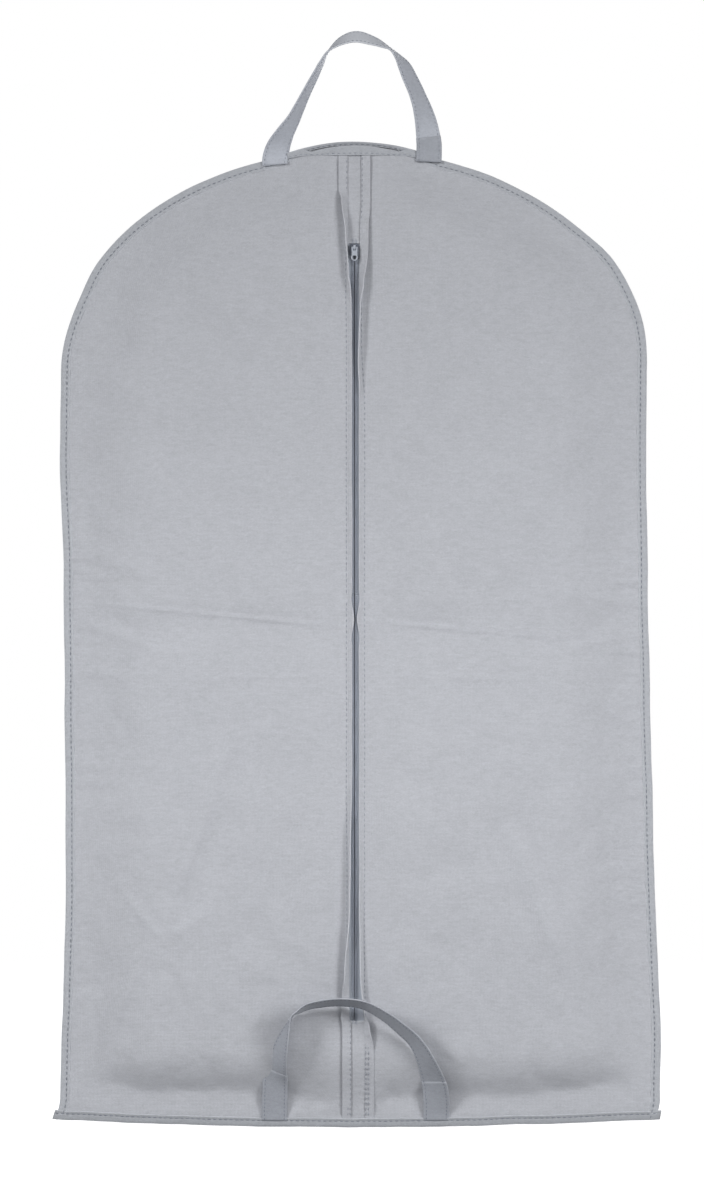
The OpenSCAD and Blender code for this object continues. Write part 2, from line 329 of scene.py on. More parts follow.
def thick_sheet(name, grid, thickness, material):
    """A closed sheet of fabric whose middle surface is the grid (rows, columns, 3)."""
    rows, cols = grid.shape[:2]
    n = grid_normals(grid) * 0.5 * thickness
    verts = np.concatenate([(grid + n).reshape(-1, 3), (grid - n).reshape(-1, 3)])
    size = rows * cols
    faces = [grid_faces(rows, cols), grid_faces(rows, cols, size, flip=True)]
    loop = (
        [j for j in range(cols)]
        + [i * cols + cols - 1 for i in range(1, rows)]
        + [(rows - 1) * cols + j for j in range(cols - 2, -1, -1)]
        + [i * cols for i in range(rows - 2, 0, -1)]
    )
    rim = [(a, a + size, b + size, b) for a, b in zip(loop, loop[1:] + loop[:1])]
    return mesh_piece(name, verts, np.concatenate(faces + [np.array(rim)]), material)


def tube_faces(count, points, base=0):
    """Faces of a closed skin with flat ends over a number of rings of points, numbered from base."""
    i, j = np.meshgrid(np.arange(count - 1), np.arange(points), indexing="ij")
    nxt = (j + 1) % points
    quads = np.stack([i * points + j, i * points + nxt, (i + 1) * points + nxt, (i + 1) * points + j], -1)
    ends = [range(points - 1, -1, -1), range((count - 1) * points, count * points)]
    return [tuple(base + k for k in face) for face in [*quads.reshape(-1, 4), *ends]]


def tube_sweep(name, rings, material):
    return mesh_piece(name, rings.reshape(-1, 3), tube_faces(*rings.shape[:2]), material)


def rings_along(path, u, u_axis, v, v_axis):
    """Sections along a path: u and v are a section's coordinates, each along its axis."""
    return path[:, None, :] + u[..., None] * u_axis[:, None, :] + v[..., None] * v_axis[:, None, :]


def strap_section(width, thickness):
    """Outline of a folded strap: rounded long edges and a shallow groove along each stitch row."""
    stations = [-1.0, -0.985, -0.93, -0.84, -0.78, -0.72, -0.4, 0.0, 0.4, 0.72, 0.78, 0.84, 0.93, 0.985, 1.0]
    half = [0.0, 0.6, 0.98, 0.95, SEAM_DENT, 0.95, 1.04, 1.06, 1.04, 0.95, SEAM_DENT, 0.95, 0.98, 0.6, 0.0]
    top = [(0.5 * width * s, 0.5 * thickness * h) for s, h in zip(stations, half)]
    bottom = [(u, -v) for u, v in reversed(top[1:-1])]
    return np.array(top + bottom)


def stitches(name, path, normals, material, pitch=STITCH_PITCH, length=STITCH_L):
    """Thread dashes lying along a path on a surface; each one dips into the fabric at its ends."""
    normals = np.broadcast_to(normals, path.shape)
    lengths = run_lengths(path)
    ribs, sides = 5, 6
    arch = np.sin(np.linspace(0.0, math.pi, ribs))[:, None]
    angle = 2.0 * math.pi * np.arange(sides) / sides
    radius = THREAD_R * (0.55 + 0.45 * arch)
    above = THREAD_LIFT + THREAD_R * (1.5 * arch - 0.9) + radius * np.sin(angle)
    verts = []
    faces = []
    for k in range(int(lengths[-1] / pitch)):
        mid = (k + 0.5) * pitch
        s = np.linspace(mid - 0.5 * length, mid + 0.5 * length, ribs)
        centre = at_stations(s, lengths, path)
        up = unit(at_stations(s, lengths, normals))
        side = np.cross(unit(centre[-1] - centre[0]), up)
        faces += tube_faces(ribs, sides, len(verts))
        verts += [*rings_along(centre, above, up, radius * np.cos(angle), side).reshape(-1, 3)]
    return mesh_piece(name, verts, faces, material)


def joined(name, pieces):
    """One mesh from several pieces that share a body."""
    verts = []
    faces = []
    for piece in pieces:
        base = len(verts)
        verts += [tuple(v.co) for v in piece.data.vertices]
        faces += [tuple(base + i for i in p.vertices) for p in piece.data.polygons]
    material = pieces[0].data.materials[0]
    for piece in pieces:
        mesh = piece.data
        bpy.data.objects.remove(piece)
        bpy.data.meshes.remove(mesh)
    return mesh_piece(name, verts, faces, material, askew=False)


def spline(stations, step):
    """Smooth curve through stations of any number of values; the first three are the place."""
    p = np.asarray(stations, float)
    p = np.concatenate([[2 * p[0] - p[1]], p, [2 * p[-1] - p[-2]]])
    samples = []
    for k in range(1, len(p) - 2):
        a, b, c, d = p[k - 1: k + 3]
        for t in np.linspace(0.0, 1.0, 24, endpoint=False):
            samples.append(0.5 * ((2 * b) + (c - a) * t + (2 * a - 5 * b + 4 * c - d) * t * t
                                  + (3 * b - 3 * c + d - a) * t ** 3))
    samples.append(p[-2])
    samples = np.array(samples)
    lengths = run_lengths(samples[:, :3])
    even = np.linspace(0.0, lengths[-1], int(lengths[-1] / step))
    return at_stations(even, lengths, samples)


# ---- baking soft pieces in place, and tying fixed ones to their bodies

def bend_at_fold(piece):
    """Bakes the piece's transform into its mesh."""
    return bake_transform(piece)


def bend_with_flap(piece):
    """Bakes the piece's transform into its mesh."""
    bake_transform(piece)
    return piece


def bend_half(piece, part):
    """Hands upper pieces to bend_with_flap and lower ones to bend_at_fold, which only bake them in place."""
    if part == "upper":
        bend_with_flap(piece)
    else:
        bend_at_fold(piece)


def fixed(body, slot, *pieces):
    for piece in pieces:
        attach(piece, body)


CUT_Z = FOLD_Z + 30 * MM                # the front's pieces are cut here


def side_name(side):
    return "left" if side < 0 else "right"


# ---- materials

class Nodes:
    """Short names for building a node tree."""

    def __init__(self, name):
        self.material = bpy.data.materials.new(name)
        self.material.use_nodes = True
        self.tree = self.material.node_tree
        self.tree.nodes.clear()
        self.shader = self.node("BsdfPrincipled")
        self.out = self.node("OutputMaterial", Surface=self.shader.outputs[0])
        self.place = self.node("TexCoord").outputs["Object"]

    def link(self, source, target):
        self.tree.links.new(source, target)

    def feed(self, socket, value):
        if hasattr(value, "links"):
            self.link(value, socket)
        else:
            socket.default_value = (*value, 1.0) if isinstance(value, tuple) else value

    def node(self, kind, **inputs):
        node = self.tree.nodes.new("ShaderNode" + kind)
        for name, value in inputs.items():
            self.feed(node.inputs[name], value)
        return node

    def math(self, operation, a, b=0.0, c=0.0, clamp=False):
        node = self.node("Math")
        node.operation = operation
        node.use_clamp = clamp
        for socket, value in zip(node.inputs, (a, b, c)):
            self.feed(socket, value)
        return node.outputs[0]

    def times(self, a, b):
        return self.math("MULTIPLY", a, b)

    def plus(self, a, b):
        return self.math("ADD", a, b)

    def noise(self, scale, detail=3.0, roughness=0.55, vector=None, distortion=0.0):
        vector = vector or self.place
        return self.node("TexNoise", Scale=scale, Detail=detail, Roughness=roughness, Distortion=distortion,
                         Vector=vector).outputs["Fac"]

    def stretched(self, x, y, z):
        node = self.node("Mapping", Vector=self.place)
        node.inputs["Scale"].default_value = (x, y, z)
        return node.outputs[0]

    def axes(self):
        return self.node("SeparateXYZ", Vector=self.place).outputs

    def ramp(self, value, *stops):
        node = self.node("ValToRGB", Fac=value)
        ramp = node.color_ramp
        while len(ramp.elements) < len(stops):
            ramp.elements.new(0.5)
        for element, (position, colour) in zip(ramp.elements, stops):
            element.position = position
            element.color = (*colour, 1.0)
        return node.outputs[0]

    def tones(self, value, colour, *stops):
        """The colour, darker or lighter with value; the stops are (position, factor)."""
        return self.ramp(value, *[(position, scaled(colour, factor)) for position, factor in stops])

    def mix(self, share, a, b):
        node = self.node("Mix")
        node.data_type = "RGBA"
        for socket, value in (("Factor", share), ("A", a), ("B", b)):
            self.feed(node.inputs[socket], value)
        return node.outputs["Result"]

    def bump(self, height, distance, strength=1.0, normal=None):
        node = self.node("Bump", Strength=strength, Distance=distance, Height=height)
        if normal is not None:
            self.link(normal, node.inputs["Normal"])
        return node.outputs[0]

    def set(self, **values):
        for name, value in values.items():
            self.feed(self.shader.inputs[name.replace("_", " ")], value)


def srgb(r, g, b):
    """Linear colour from 0-255 display values."""
    def linear(c):
        c = c / 255.0
        return c / 12.92 if c <= 0.04045 else ((c + 0.055) / 1.055) ** 2.4
    return (linear(r), linear(g), linear(b))


def scaled(colour, factor):
    return tuple(c * factor for c in colour)


FABRIC = srgb(183, 185, 191)
EMBOSS_PITCH = 2.0 * MM
HIGHLIGHT_WHITE = srgb(226, 229, 235)         # colour of the painted highlight along folded edges, where light catches them


def nonwoven(name, colour, emboss=1.0):
    """Spun-bond fabric: diamond grid of fused dots on matted fibres, painted highlight at folded edges."""
    m = Nodes(name)
    x, y, z = m.axes()
    turn = 2.0 * math.pi / (EMBOSS_PITCH * math.sqrt(2))
    # Depth counts in both directions of the grid, so that turned-in edges keep the pattern.
    u = m.times(m.plus(m.plus(x, z), y), turn)
    v = m.times(m.plus(m.math("SUBTRACT", x, z), y), turn)
    wave = m.times(m.math("COSINE", u), m.math("COSINE", v))
    dots = m.math("SMOOTH_MAX", wave, 0.0, 0.2)
    fibres = m.noise(900.0, 4.0, 0.75, m.stretched(0.55, 1.0, 1.0), 0.6)
    slubs = m.noise(330.0, 3.0, 0.65, m.stretched(0.3, 1.0, 1.0), 0.3)
    tangle = m.noise(520.0, 3.0, 0.6)
    cloud = m.noise(8.0, 4.0, 0.6)
    patch = m.noise(40.0, 3.0, 0.6, m.stretched(1.0, 1.0, 0.7))
    tone = m.tones(cloud, colour, (0.3, 0.95), (0.7, 1.05))
    shade = m.mix(0.35, tone, m.tones(patch, colour, (0.3, 0.92), (0.7, 1.07)))
    streak = m.mix(0.34, shade, m.tones(slubs, colour, (0.3, 0.72), (0.7, 1.24)))
    fleck = m.mix(0.36, streak, m.tones(fibres, colour, (0.3, 0.7), (0.7, 1.28)))
    pressed = m.mix(m.times(dots, 0.3 * emboss), fleck, scaled(colour, 0.72))
    # Painted highlight: where the vertex mark is set, the colour is mixed towards white.
    fold = m.node("Attribute")
    fold.attribute_name = "fold_highlight"
    folded = m.mix(m.times(fold.outputs["Fac"], 0.75), pressed, HIGHLIGHT_WHITE)
    fibre_bump = m.bump(m.plus(fibres, m.times(slubs, 1.4)), 0.16 * MM, 0.6)
    emboss_bump = m.bump(m.times(dots, -1.0), 0.2 * MM, 0.6 * emboss, fibre_bump)
    m.set(Base_Color=folded, Roughness=m.plus(m.times(tangle, 0.12), 0.74),
          Normal=emboss_bump, Sheen_Weight=0.1, Sheen_Roughness=0.5)
    m.shader.inputs["Specular IOR Level"].default_value = 0.26
    return m.material


def thread_material(name, colour):
    m = Nodes(name)
    twist = m.noise(2600.0, 2.0, 0.5, m.stretched(1.0, 1.0, 0.4))
    m.set(Base_Color=m.tones(twist, colour, (0.35, 0.8), (0.65, 1.12)),
          Roughness=0.6, Normal=m.bump(twist, 0.08 * MM, 0.6), Sheen_Weight=0.1)
    return m.material


def woven_tape(name, colour):
    """Zip tape: a fine herringbone rib along its length."""
    m = Nodes(name)
    x, _, z = m.axes()
    slant = m.plus(z, m.math("ABSOLUTE", x))
    rib = m.math("SINE", m.times(slant, 2 * math.pi / (0.9 * MM)))
    warp = m.math("SINE", m.times(x, 2 * math.pi / (0.55 * MM)))
    weave = m.plus(m.times(rib, 0.5), m.times(warp, 0.35))
    fuzz = m.noise(900.0, 3.0)
    height = m.plus(weave, m.times(fuzz, 0.6))
    m.set(Base_Color=m.tones(m.math("MULTIPLY_ADD", height, 0.4, 0.4), colour, (0.1, 0.8), (0.9, 1.12)),
          Roughness=0.82, Normal=m.bump(height, 0.12 * MM, 0.6), Sheen_Weight=0.1)
    return m.material


def coil_plastic(name, colour):
    m = Nodes(name)
    scuff = m.noise(700.0, 3.0)
    cloud = m.noise(60.0, 2.0)
    m.set(Base_Color=m.tones(cloud, colour, (0.3, 0.88), (0.7, 1.12)),
          Roughness=m.math("MULTIPLY_ADD", scuff, 0.2, 0.36), Normal=m.bump(scuff, 0.03 * MM, 0.3))
    return m.material


def painted_metal(name, colour, wear_and_highlight):
    """Lacquered zinc: faint orange peel, scuffs and slightly brighter edges where the lacquer is rubbed."""
    m = Nodes(name)
    peel = m.noise(1500.0, 2.0)
    scuffs = m.noise(420.0, 5.0, 0.7, m.stretched(1.0, 1.0, 0.25))
    turn = m.node("VectorMath")
    turn.operation = "DOT_PRODUCT"
    m.link(m.node("Bevel", Radius=0.35 * MM).outputs[0], turn.inputs[0])
    m.link(m.node("NewGeometry").outputs["Normal"], turn.inputs[1])
    wear = m.math("MULTIPLY", m.math("SUBTRACT", 1.0, turn.outputs["Value"]), 6.0, clamp=True)
    wear = m.times(wear, m.ramp(scuffs, (0.4, (0.2, 0.2, 0.2)), (0.6, (1, 1, 1))))
    coat = m.tones(scuffs, colour, (0.25, 0.9), (0.75, 1.06))
    m.set(Base_Color=m.mix(wear, coat, wear_and_highlight), Metallic=m.times(wear, 0.7),
          Roughness=m.math("MULTIPLY_ADD", scuffs, 0.25, 0.3), Normal=m.bump(peel, 0.02 * MM, 0.35))
    m.shader.inputs["Coat Weight"].default_value = 0.15
    return m.material


PANEL = nonwoven("panel_nonwoven", FABRIC)
BACK = nonwoven("back_nonwoven", FABRIC)
BINDING = nonwoven("binding_nonwoven", scaled(srgb(182, 185, 191), 0.93))
# Painted shade: the hem's binding tape is drawn darker than the side binding, for the shade along the lower
# edge.
SHADED_HEM_TAPE = nonwoven("hem_nonwoven_painted_shade", scaled(srgb(181, 184, 190), 0.78))
STRAP = nonwoven("strap_nonwoven", srgb(187, 191, 200), 0.9)
STRAP_END = nonwoven("strap_end_nonwoven", scaled(srgb(187, 191, 200), 0.76), 0.9)
# Painted shade: the bottom handle's strap is the same fabric drawn darker, for the shade it sits in.
SHADED_LOW_STRAP = nonwoven("low_strap_nonwoven_painted_shade", scaled(srgb(179, 183, 192), 0.77), 0.9)
THREAD = thread_material("thread_grey", scaled(srgb(150, 156, 170), 0.62))
LIP_THREAD = thread_material("thread_pale_grey", srgb(152, 157, 167))
TAPE = woven_tape("zip_tape_grey", srgb(190, 196, 206))
COIL = coil_plastic("zip_coil_grey", srgb(162, 168, 180))
METAL = painted_metal("pull_lacquer", srgb(180, 186, 197), srgb(215, 216, 218))
# Painted shade: the slider body's lacquer is the pull's, drawn darker for the shadow under the lips.
SHADED_SLIDER_METAL = painted_metal("slider_lacquer_painted_shade", srgb(104, 109, 121), srgb(160, 162, 166))

# ---- front panels with their zip lips

LIP_HIGHLIGHT = 0.45                         # painted highlight along a lip's folded tip
LIP_LAYER = 0.9 * MM                     # distance between the two layers of a lip
ROOT_END = 7.0 * MM                      # stitch row beside the patches
ROOT_ZIP = 8.4 * MM                      # stitch row beside the zip
LIP_END_W = 9.0 * MM                     # lip's width beside the patches, and beside the zip
LIP_ZIP_W = 5.0 * MM
LIP_LEAN = 154.0                         # degrees from lying outward, over standing, to lying inward
TUCK = 0.5 * RIM_T + 0.1 * MM            # the panel's edge runs into the middle of the rim
ZIP_DRIFT = 1.1 * MM                     # the lips are sewn a little to the right of the zip
END_DRIFT = 3.7 * MM                     # and the strips below it further
NECK_STRIP_Z = -15.3 * MM                # lower edge of the front neck hem
SLIDER_WAY = 5.7 * MM                    # the lips leave this much on each side for the slider


def drift(z):
    """How far to the right the zip's surroundings lie at height z."""
    middle = ZIP_DRIFT * span(-z, 0.12, 0.19)
    return middle + (END_DRIFT - ZIP_DRIFT) * span(-z, -ZIP_BOTTOM_Z - 45 * MM, -ZIP_BOTTOM_Z + 20 * MM)


def lip_state(z, side):
    """0 where the lip is turned outward beside a patch, 1 where it leans over the zip."""
    down = -z / MM
    up = (z - ZIP_BOTTOM_Z) / MM
    if side < 0:
        top = steps(down, (50, 61, 93, 131, 168), (0.0, 0.24, 0.46, 0.64, 1.0))
        bottom = steps(up, (-14, 22, 47, 118, 168, 250), (0.0, 0.17, 0.37, 0.67, 0.72, 1.0))
    else:
        places = (60, 100, 114, 148, 167, 200, 240, 270)
        top = steps(down, places, (0.0, 0.08, 0.12, 0.37, 0.55, 0.65, 0.81, 1.0))
        bottom = steps(up, (-34, -8, 12, 40, 57, 160), (0.0, 0.3, 0.62, 0.75, 0.8, 1.0))
    return top * bottom


def lip_root(z, side):
    """Distance from the middle to the row that holds the lip down; the right one lies close at the top."""
    state = lip_state(z, side)
    waver = 0.5 * MM * fractal(np.full_like(z, 0.1 * side), z, 90 * MM, 3.0 + side, 2)
    down = -z / MM
    close = 2.5 * MM * span(down, 60, 105) * (1.0 - span(down, 205, 268)) if side > 0 else 0.0
    slider_way = SLIDER_WAY * span(z, ZIP_BOTTOM_Z - 6 * MM, ZIP_BOTTOM_Z + 2 * MM)
    return np.maximum(lerp(ROOT_END, ROOT_ZIP, state) - close + waver * state + side * drift(z), slider_way)


def lip_width(z, side):
    """Width of the lip, which buckles where the bag was folded."""
    state = lip_state(z, side)
    pinch = 2.3 * MM * bell(z, FOLD_Z + 6 * MM, 10 * MM)
    kink = -0.9 * MM * (bell(z, FOLD_Z + 26 * MM, 6 * MM) + bell(z, FOLD_Z - 13 * MM, 6 * MM))
    waver = 0.45 * MM * fractal(np.full_like(z, 0.3 * side), z, 46 * MM, 8.0 + side, 2)
    return lerp(LIP_END_W, LIP_ZIP_W, state) + (pinch + kink + waver) * state


def pressed_flat(z):
    """1 where the lips and patches run under the neck hem or the hem binding, else 0."""
    at_neck = span(z, NECK_STRIP_Z - 9 * MM, NECK_STRIP_Z)
    at_hem = 1.0 - span(z, HEM_Z + BINDING_W - 1 * MM, HEM_Z + BINDING_W + 9 * MM)
    return np.maximum(at_neck, at_hem)


def panel_columns():
    """Distances from the lip's root outwards, as shares of the panel's width: finer beside the zip."""
    near = np.linspace(0.0, 0.16, 15)
    far = 0.16 + 0.84 * np.sin(np.linspace(0.0, math.pi / 2, 66))[1:]
    return np.concatenate([near, far])


def back_surface(x, z):
    free = smooth(edge_share(x, z) / 0.2) * smooth((z - hem_z(x)) / (60 * MM))
    loose = 0.9 * fractal(x, z * 0.7, 150 * MM, 61.0) + 0.3 * fractal(x, z, 45 * MM, 67.0)
    return REAR_Y - 0.6 * MM - np.clip((1.2 + loose) * free, 0.0, 3.2) * MM


def kept_apart(y, behind, gap):
    """y, softly held at least the gap in front of the sheet behind it."""
    free = behind - gap - y
    return behind - gap - 0.5 * (free + np.sqrt(free ** 2 + gap ** 2))


def front_surface(x, z, side):
    at_neck = np.where(z > SHOULDER_Z, 1.0 - span(np.abs(x), 50 * MM, 64 * MM), 0.0)
    edge = 1.0 - span(rim_distance(x, z), 0.5 * BINDING_W, 1.9 * BINDING_W)
    beside_zip = 0.9 * MM * bell(np.abs(x), 10.5 * MM, 4.5 * MM) * (1.0 - pressed_flat(z))
    relief = wrinkles(x, z, 5.0 + side) + pleats(x, z, 5.0 + side) + folds(x, z)
    y = front_y(x, z) + TUCK * edge * (1.0 - at_neck) + beside_zip - relief
    return lerp(kept_apart(y, back_surface(x, z), 0.9 * MM), y, edge)


CREASE_GAIN = 1.9                        # how much stronger the creases are than they were measured
CREASES = [
    # from (x, z) to (x, z), width, height: metres for the places, millimetres for the rest
    ((-0.29, -0.466), (0.02, -0.495), 2.3, 0.9), ((-0.02, -0.484), (0.28, -0.509), 2.4, 1.0),
    ((-0.20, -0.545), (-0.01, -0.541), 3.0, 0.3), ((0.01, -0.540), (0.22, -0.547), 3.0, 0.35),
    ((-0.285, -0.487), (-0.20, -0.512), 6.0, 0.9), ((-0.285, -0.535), (-0.21, -0.55), 7.0, 0.8),
    ((-0.29, -0.41), (-0.19, -0.445), 9.0, 0.7), ((0.19, -0.455), (0.29, -0.47), 8.0, 0.9),
    ((0.17, -0.52), (0.285, -0.50), 7.0, 0.9), ((0.20, -0.56), (0.29, -0.585), 9.0, 0.8),
    ((-0.105, -0.55), (-0.205, -0.83), 9.0, 1.1), ((-0.245, -0.75), (-0.19, -0.815), 4.0, 0.7),
    ((-0.205, -0.80), (-0.265, -0.93), 7.0, 1.2), ((-0.20, -0.81), (-0.135, -0.77), 6.0, 0.6),
    ((0.135, -0.655), (0.225, -0.885), 8.0, 1.1), ((0.20, -0.78), (0.245, -0.93), 7.0, 0.8),
    ((0.075, -0.06), (0.245, -0.45), 22.0, 1.2), ((-0.06, -0.11), (-0.20, -0.34), 24.0, 1.0),
    ((-0.17, -0.33), (-0.05, -0.37), 14.0, 0.7), ((0.03, -0.62), (0.09, -0.93), 20.0, 0.9),
]
HOLLOW_UP = 29 * MM                      # how far above the hem the empty bag sinks in most
HOLLOW_DEPTH = 6.0 * MM


def folds(x, z):
    """The lasting creases: the factory fold, some soft ones, and the hollow above the hem."""
    lift = sum(
        crease(x, z, start, end, width * MM, CREASE_GAIN * height * MM)
        for start, end, width, height in CREASES
    )
    up = z - hem_z(x)
    width = np.where(up < HOLLOW_UP, 24 * MM, 19 * MM)
    hollow = HOLLOW_DEPTH * bell(up, HOLLOW_UP, width) * span(up, BINDING_W, 26 * MM)
    hollow = hollow * (1.0 - span(np.abs(x), 0.24, 0.285))
    relief = lift - hollow * (1.0 - 0.35 * bell(x, -0.03, 0.05))
    return np.where(relief < 0.0, relief * span(np.abs(x), 15 * MM, 42 * MM), relief)


def row_z(x, heights):
    """Heights at x of rows with given heights at the zip: level at the cut, shaped at both ends."""
    below = (heights - front_low_z(ROOT_END)) / (CUT_Z - front_low_z(ROOT_END))
    above = (heights - CUT_Z) / (front_high_z(ROOT_END) - CUT_Z)
    return np.where(heights > CUT_Z, lerp(CUT_Z, front_high_z(x), above), lerp(front_low_z(x), CUT_Z, below))


def panel_grid(side, root_z):
    """Middle surface of one front half: the panel from its sewn edge to the lip's root, then the lip."""
    shares = panel_columns()[::-1]
    root = lip_root(root_z, side)
    outer = half_width(row_z(SIDE_HALF_W - BINDING_W, root_z)) - 0.45 * BINDING_W
    x = root[:, None] + (outer - root)[:, None] * shares[None, :]
    z = row_z(x, root_z[:, None])
    y = front_surface(side * x, z, side)
    panel = np.stack([side * x, y, z], -1)
    # The lip: out along one layer, round the fold, and back along the other.
    state = lip_state(root_z, side)
    flat = pressed_flat(root_z)
    layer = LIP_LAYER * (1.0 - 0.6 * flat)
    angle = np.radians(lerp(4.0 * (1.0 - flat), LIP_LEAN, state))
    width = lip_width(root_z, side)
    out = np.stack([np.cos(angle), -np.sin(angle)], -1)
    over = np.stack([-np.sin(angle), -np.cos(angle)], -1)
    base = np.stack([root, y[:, -1] - 0.5 * layer * (1.0 - state)], -1)
    along = [(share, 0.0) for share in np.linspace(0.12, 0.9, 6)]
    turns = np.linspace(-0.5, 0.5, 5) * math.pi
    round_tip = [(0.94 + 0.06 * math.cos(t), 0.5 + 0.5 * math.sin(t)) for t in turns]
    back = [(share, 1.0) for share in np.linspace(0.9, 0.0, 6)]
    lip = np.stack([
        base + out * (share * width)[:, None] + over * (depth * layer)[:, None]
        for share, depth in along + round_tip + back
    ], 1)
    lip_z = np.repeat(z[:, -1:], lip.shape[1], axis=1)
    lip = np.stack([side * lip[..., 0], lip[..., 1], lip_z], -1)
    grid = np.concatenate([panel, lip], 1)
    white = np.zeros(grid.shape[:2])
    tip = len(shares) + len(along)
    # Painted highlight along the lip's folded tip, stronger as the lip leans over the zip.
    white[:, tip: tip + len(round_tip)] = np.outer(span(state, 0.05, 0.5), (0.3, 0.7, 1.0, 0.7, 0.3))
    return grid, LIP_HIGHLIGHT * white


def front_low_z(x):
    return hem_z(x) + 0.5 * BINDING_W


def front_drop(x):
    return 5 * MM * np.clip(1.0 - (x / (MOUTH_HALF_W + 4 * MM)) ** 2, 0.0, 1.0)


def front_high_z(x):
    return shoulder_z(x, 0.45 * BINDING_W) - front_drop(x)


def panel_rows():
    """Heights of the rows beside the zip, close together at the fold where the creases are sharp."""
    places = [front_low_z(ROOT_END), FOLD_Z - 60 * MM, CUT_Z, CUT_Z + 20 * MM, front_high_z(ROOT_END)]
    pitches = [3.4 * MM, 1.7 * MM, 1.7 * MM, 3.4 * MM]
    parts = [
        np.linspace(low, high, int((high - low) / pitch) + 1)[:-1]
        for low, high, pitch in zip(places, places[1:], pitches)
    ]
    return np.concatenate(parts + [places[-1:]])


def front_panel(side):
    label = side_name(side)
    grid, white = panel_grid(side, panel_rows())
    if side > 0:
        grid, white = grid[:, ::-1], white[:, ::-1]
    cut = int(np.argmin(np.abs(grid[:, 0 if side > 0 else -1, 2] - CUT_Z)))
    for part, rows in (("lower", slice(0, cut + 1)), ("upper", slice(cut, None))):
        piece = thick_sheet(f"front_panel_{label}_{part}_cloth", grid[rows], SHEET_T, PANEL)
        paint_highlight(piece, np.tile(white[rows].ravel(), 2))
        keep_normals(grid, piece, rows.start)
        bend_half(piece, part)
        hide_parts(f"front_panel_{label}_{part}")


def keep_normals(grid, piece, first_row):
    """Gives a cut sheet the whole sheet's shading, so that the cut doesn't show."""
    normals = grid_normals(grid)
    rows = len(piece.data.vertices) // (2 * grid.shape[1])
    part = normals[first_row: first_row + rows].reshape(-1, 3)
    both = np.concatenate([part, -part])
    piece.data.normals_split_custom_set_from_vertices([tuple(n) for n in both])


front_panel(-1)
front_panel(1)

# ---- back panel

BACK_ROWS, BACK_COLUMNS = 230, 131


def back_panel():
    shares = np.linspace(0.0, 1.0, BACK_ROWS)[:, None]
    across = np.sin(np.linspace(-math.pi / 2, math.pi / 2, BACK_COLUMNS))[None, :]
    side_z = lerp(HEM_Z, SHOULDER_Z, np.clip(shares * 1.3, 0, 1))
    x = (half_width(side_z) - 0.45 * BINDING_W) * across
    z = lerp(hem_z(x) + 0.5 * BINDING_W, shoulder_z(x, 0.25 * BINDING_W), shares)
    y = back_surface(x, z)
    piece = thick_sheet("back_panel_cloth", np.stack([x, y, z], -1), SHEET_T, BACK)
    bend_at_fold(piece)
    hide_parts("back_panel_upper", "back_panel_lower")


back_panel()

# ---- bindings

def binding_section():
    """Half-flattened fold of tape: u runs from the outline inwards, v from the middle forwards."""
    half = 0.5 * RIM_T
    front = [
        (0.0, 0.0), (0.03, 0.45), (0.10, 0.8), (0.25, 1.02), (0.5, 1.05), (0.61, 0.95), (0.68, 0.62),
        (0.75, 0.95), (0.9, 1.06), (0.97, 0.95), (1.0, 0.5),
    ]
    points = [(u * BINDING_W, v * half) for u, v in front]
    points += [(u * BINDING_W, -v * half) for u, v in reversed(front[1:])]
    return np.array(points)


def binding_share(path):
    """Visible share of the binding's width: it is narrow behind the neck opening."""
    at_neck = (1.0 - span(np.abs(path[:, 0]), 43 * MM, 56 * MM)) * span(path[:, 1], -0.05, -0.03)
    return lerp(1.0, 0.44, at_neck)


def sweep_binding(name, path, inward, material, seed, bulge=None):
    section = binding_section()
    count = len(path)
    s = np.arange(count) * np.linalg.norm(path[1] - path[0])
    gather = 0.2 * fractal(s, 0 * s, 11 * MM, seed, 2)
    waver = 0.5 * MM * fractal(s, 0 * s, 60 * MM, seed + 5, 2)
    dimple = 1.0 + 0.12 * np.cos(2.0 * math.pi * s / STITCH_PITCH)
    share = binding_share(path)
    middle_y = REAR_Y - 0.5 * RIM_T
    rings = []
    for k in range(count):
        u = section[:, 0:1] * share[k] * (1.0 + 0.05 * gather[k]) + waver[k]
        v = section[:, 1] * (1.0 + gather[k]) * dimple[k]
        if bulge is not None:
            v = np.where(v > 0.0, v * bulge[k], v)
        flat = path[k] + inward[k] * u
        rings.append(np.stack([flat[:, 0], middle_y - v, flat[:, 1]], 1))
    piece = tube_sweep(name, np.array(rings), material)
    # Painted highlight along the binding's outer and inner folded edges.
    edge = np.where((section[:, 0] < 0.04 * BINDING_W) | (section[:, 0] > 0.96 * BINDING_W), 0.45, 0.0)
    paint_highlight(piece, np.tile(edge, count))
    return piece


def path_normals(path):
    """Unit vectors pointing to the left of the direction of travel."""
    d = tangents(path)
    return np.stack([-d[:, 1], d[:, 0]], 1)


def stitch_rows(name, path, inward, depth, lift):
    """Stitches through a binding, seen on the front and on the back."""
    middle_y = REAR_Y - 0.5 * RIM_T
    rows = []
    for out in (-1.0, 1.0):
        row = path + inward * np.asarray(depth).reshape(-1, 1)
        row = np.stack([row[:, 0], np.full(len(row), middle_y + out * lift), row[:, 1]], 1)
        rows.append(stitches("row", row, (0.0, out, 0.0), THREAD))
    return joined(name, rows)


def edge_binding():
    path = side_path(step=1.87 * MM)
    inward = path_normals(path)
    piece = sweep_binding("edge_binding_tape", path, inward, BINDING, 81.0)
    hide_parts("edge_binding_upper", "edge_binding_lower_left", "edge_binding_lower_right")
    depth = SEAM_IN * binding_share(path)
    thread = stitch_rows("edge_binding_stitches", path, inward, depth, 0.4 * RIM_T)
    for soft in (piece, thread):
        bend_at_fold(soft)


edge_binding()


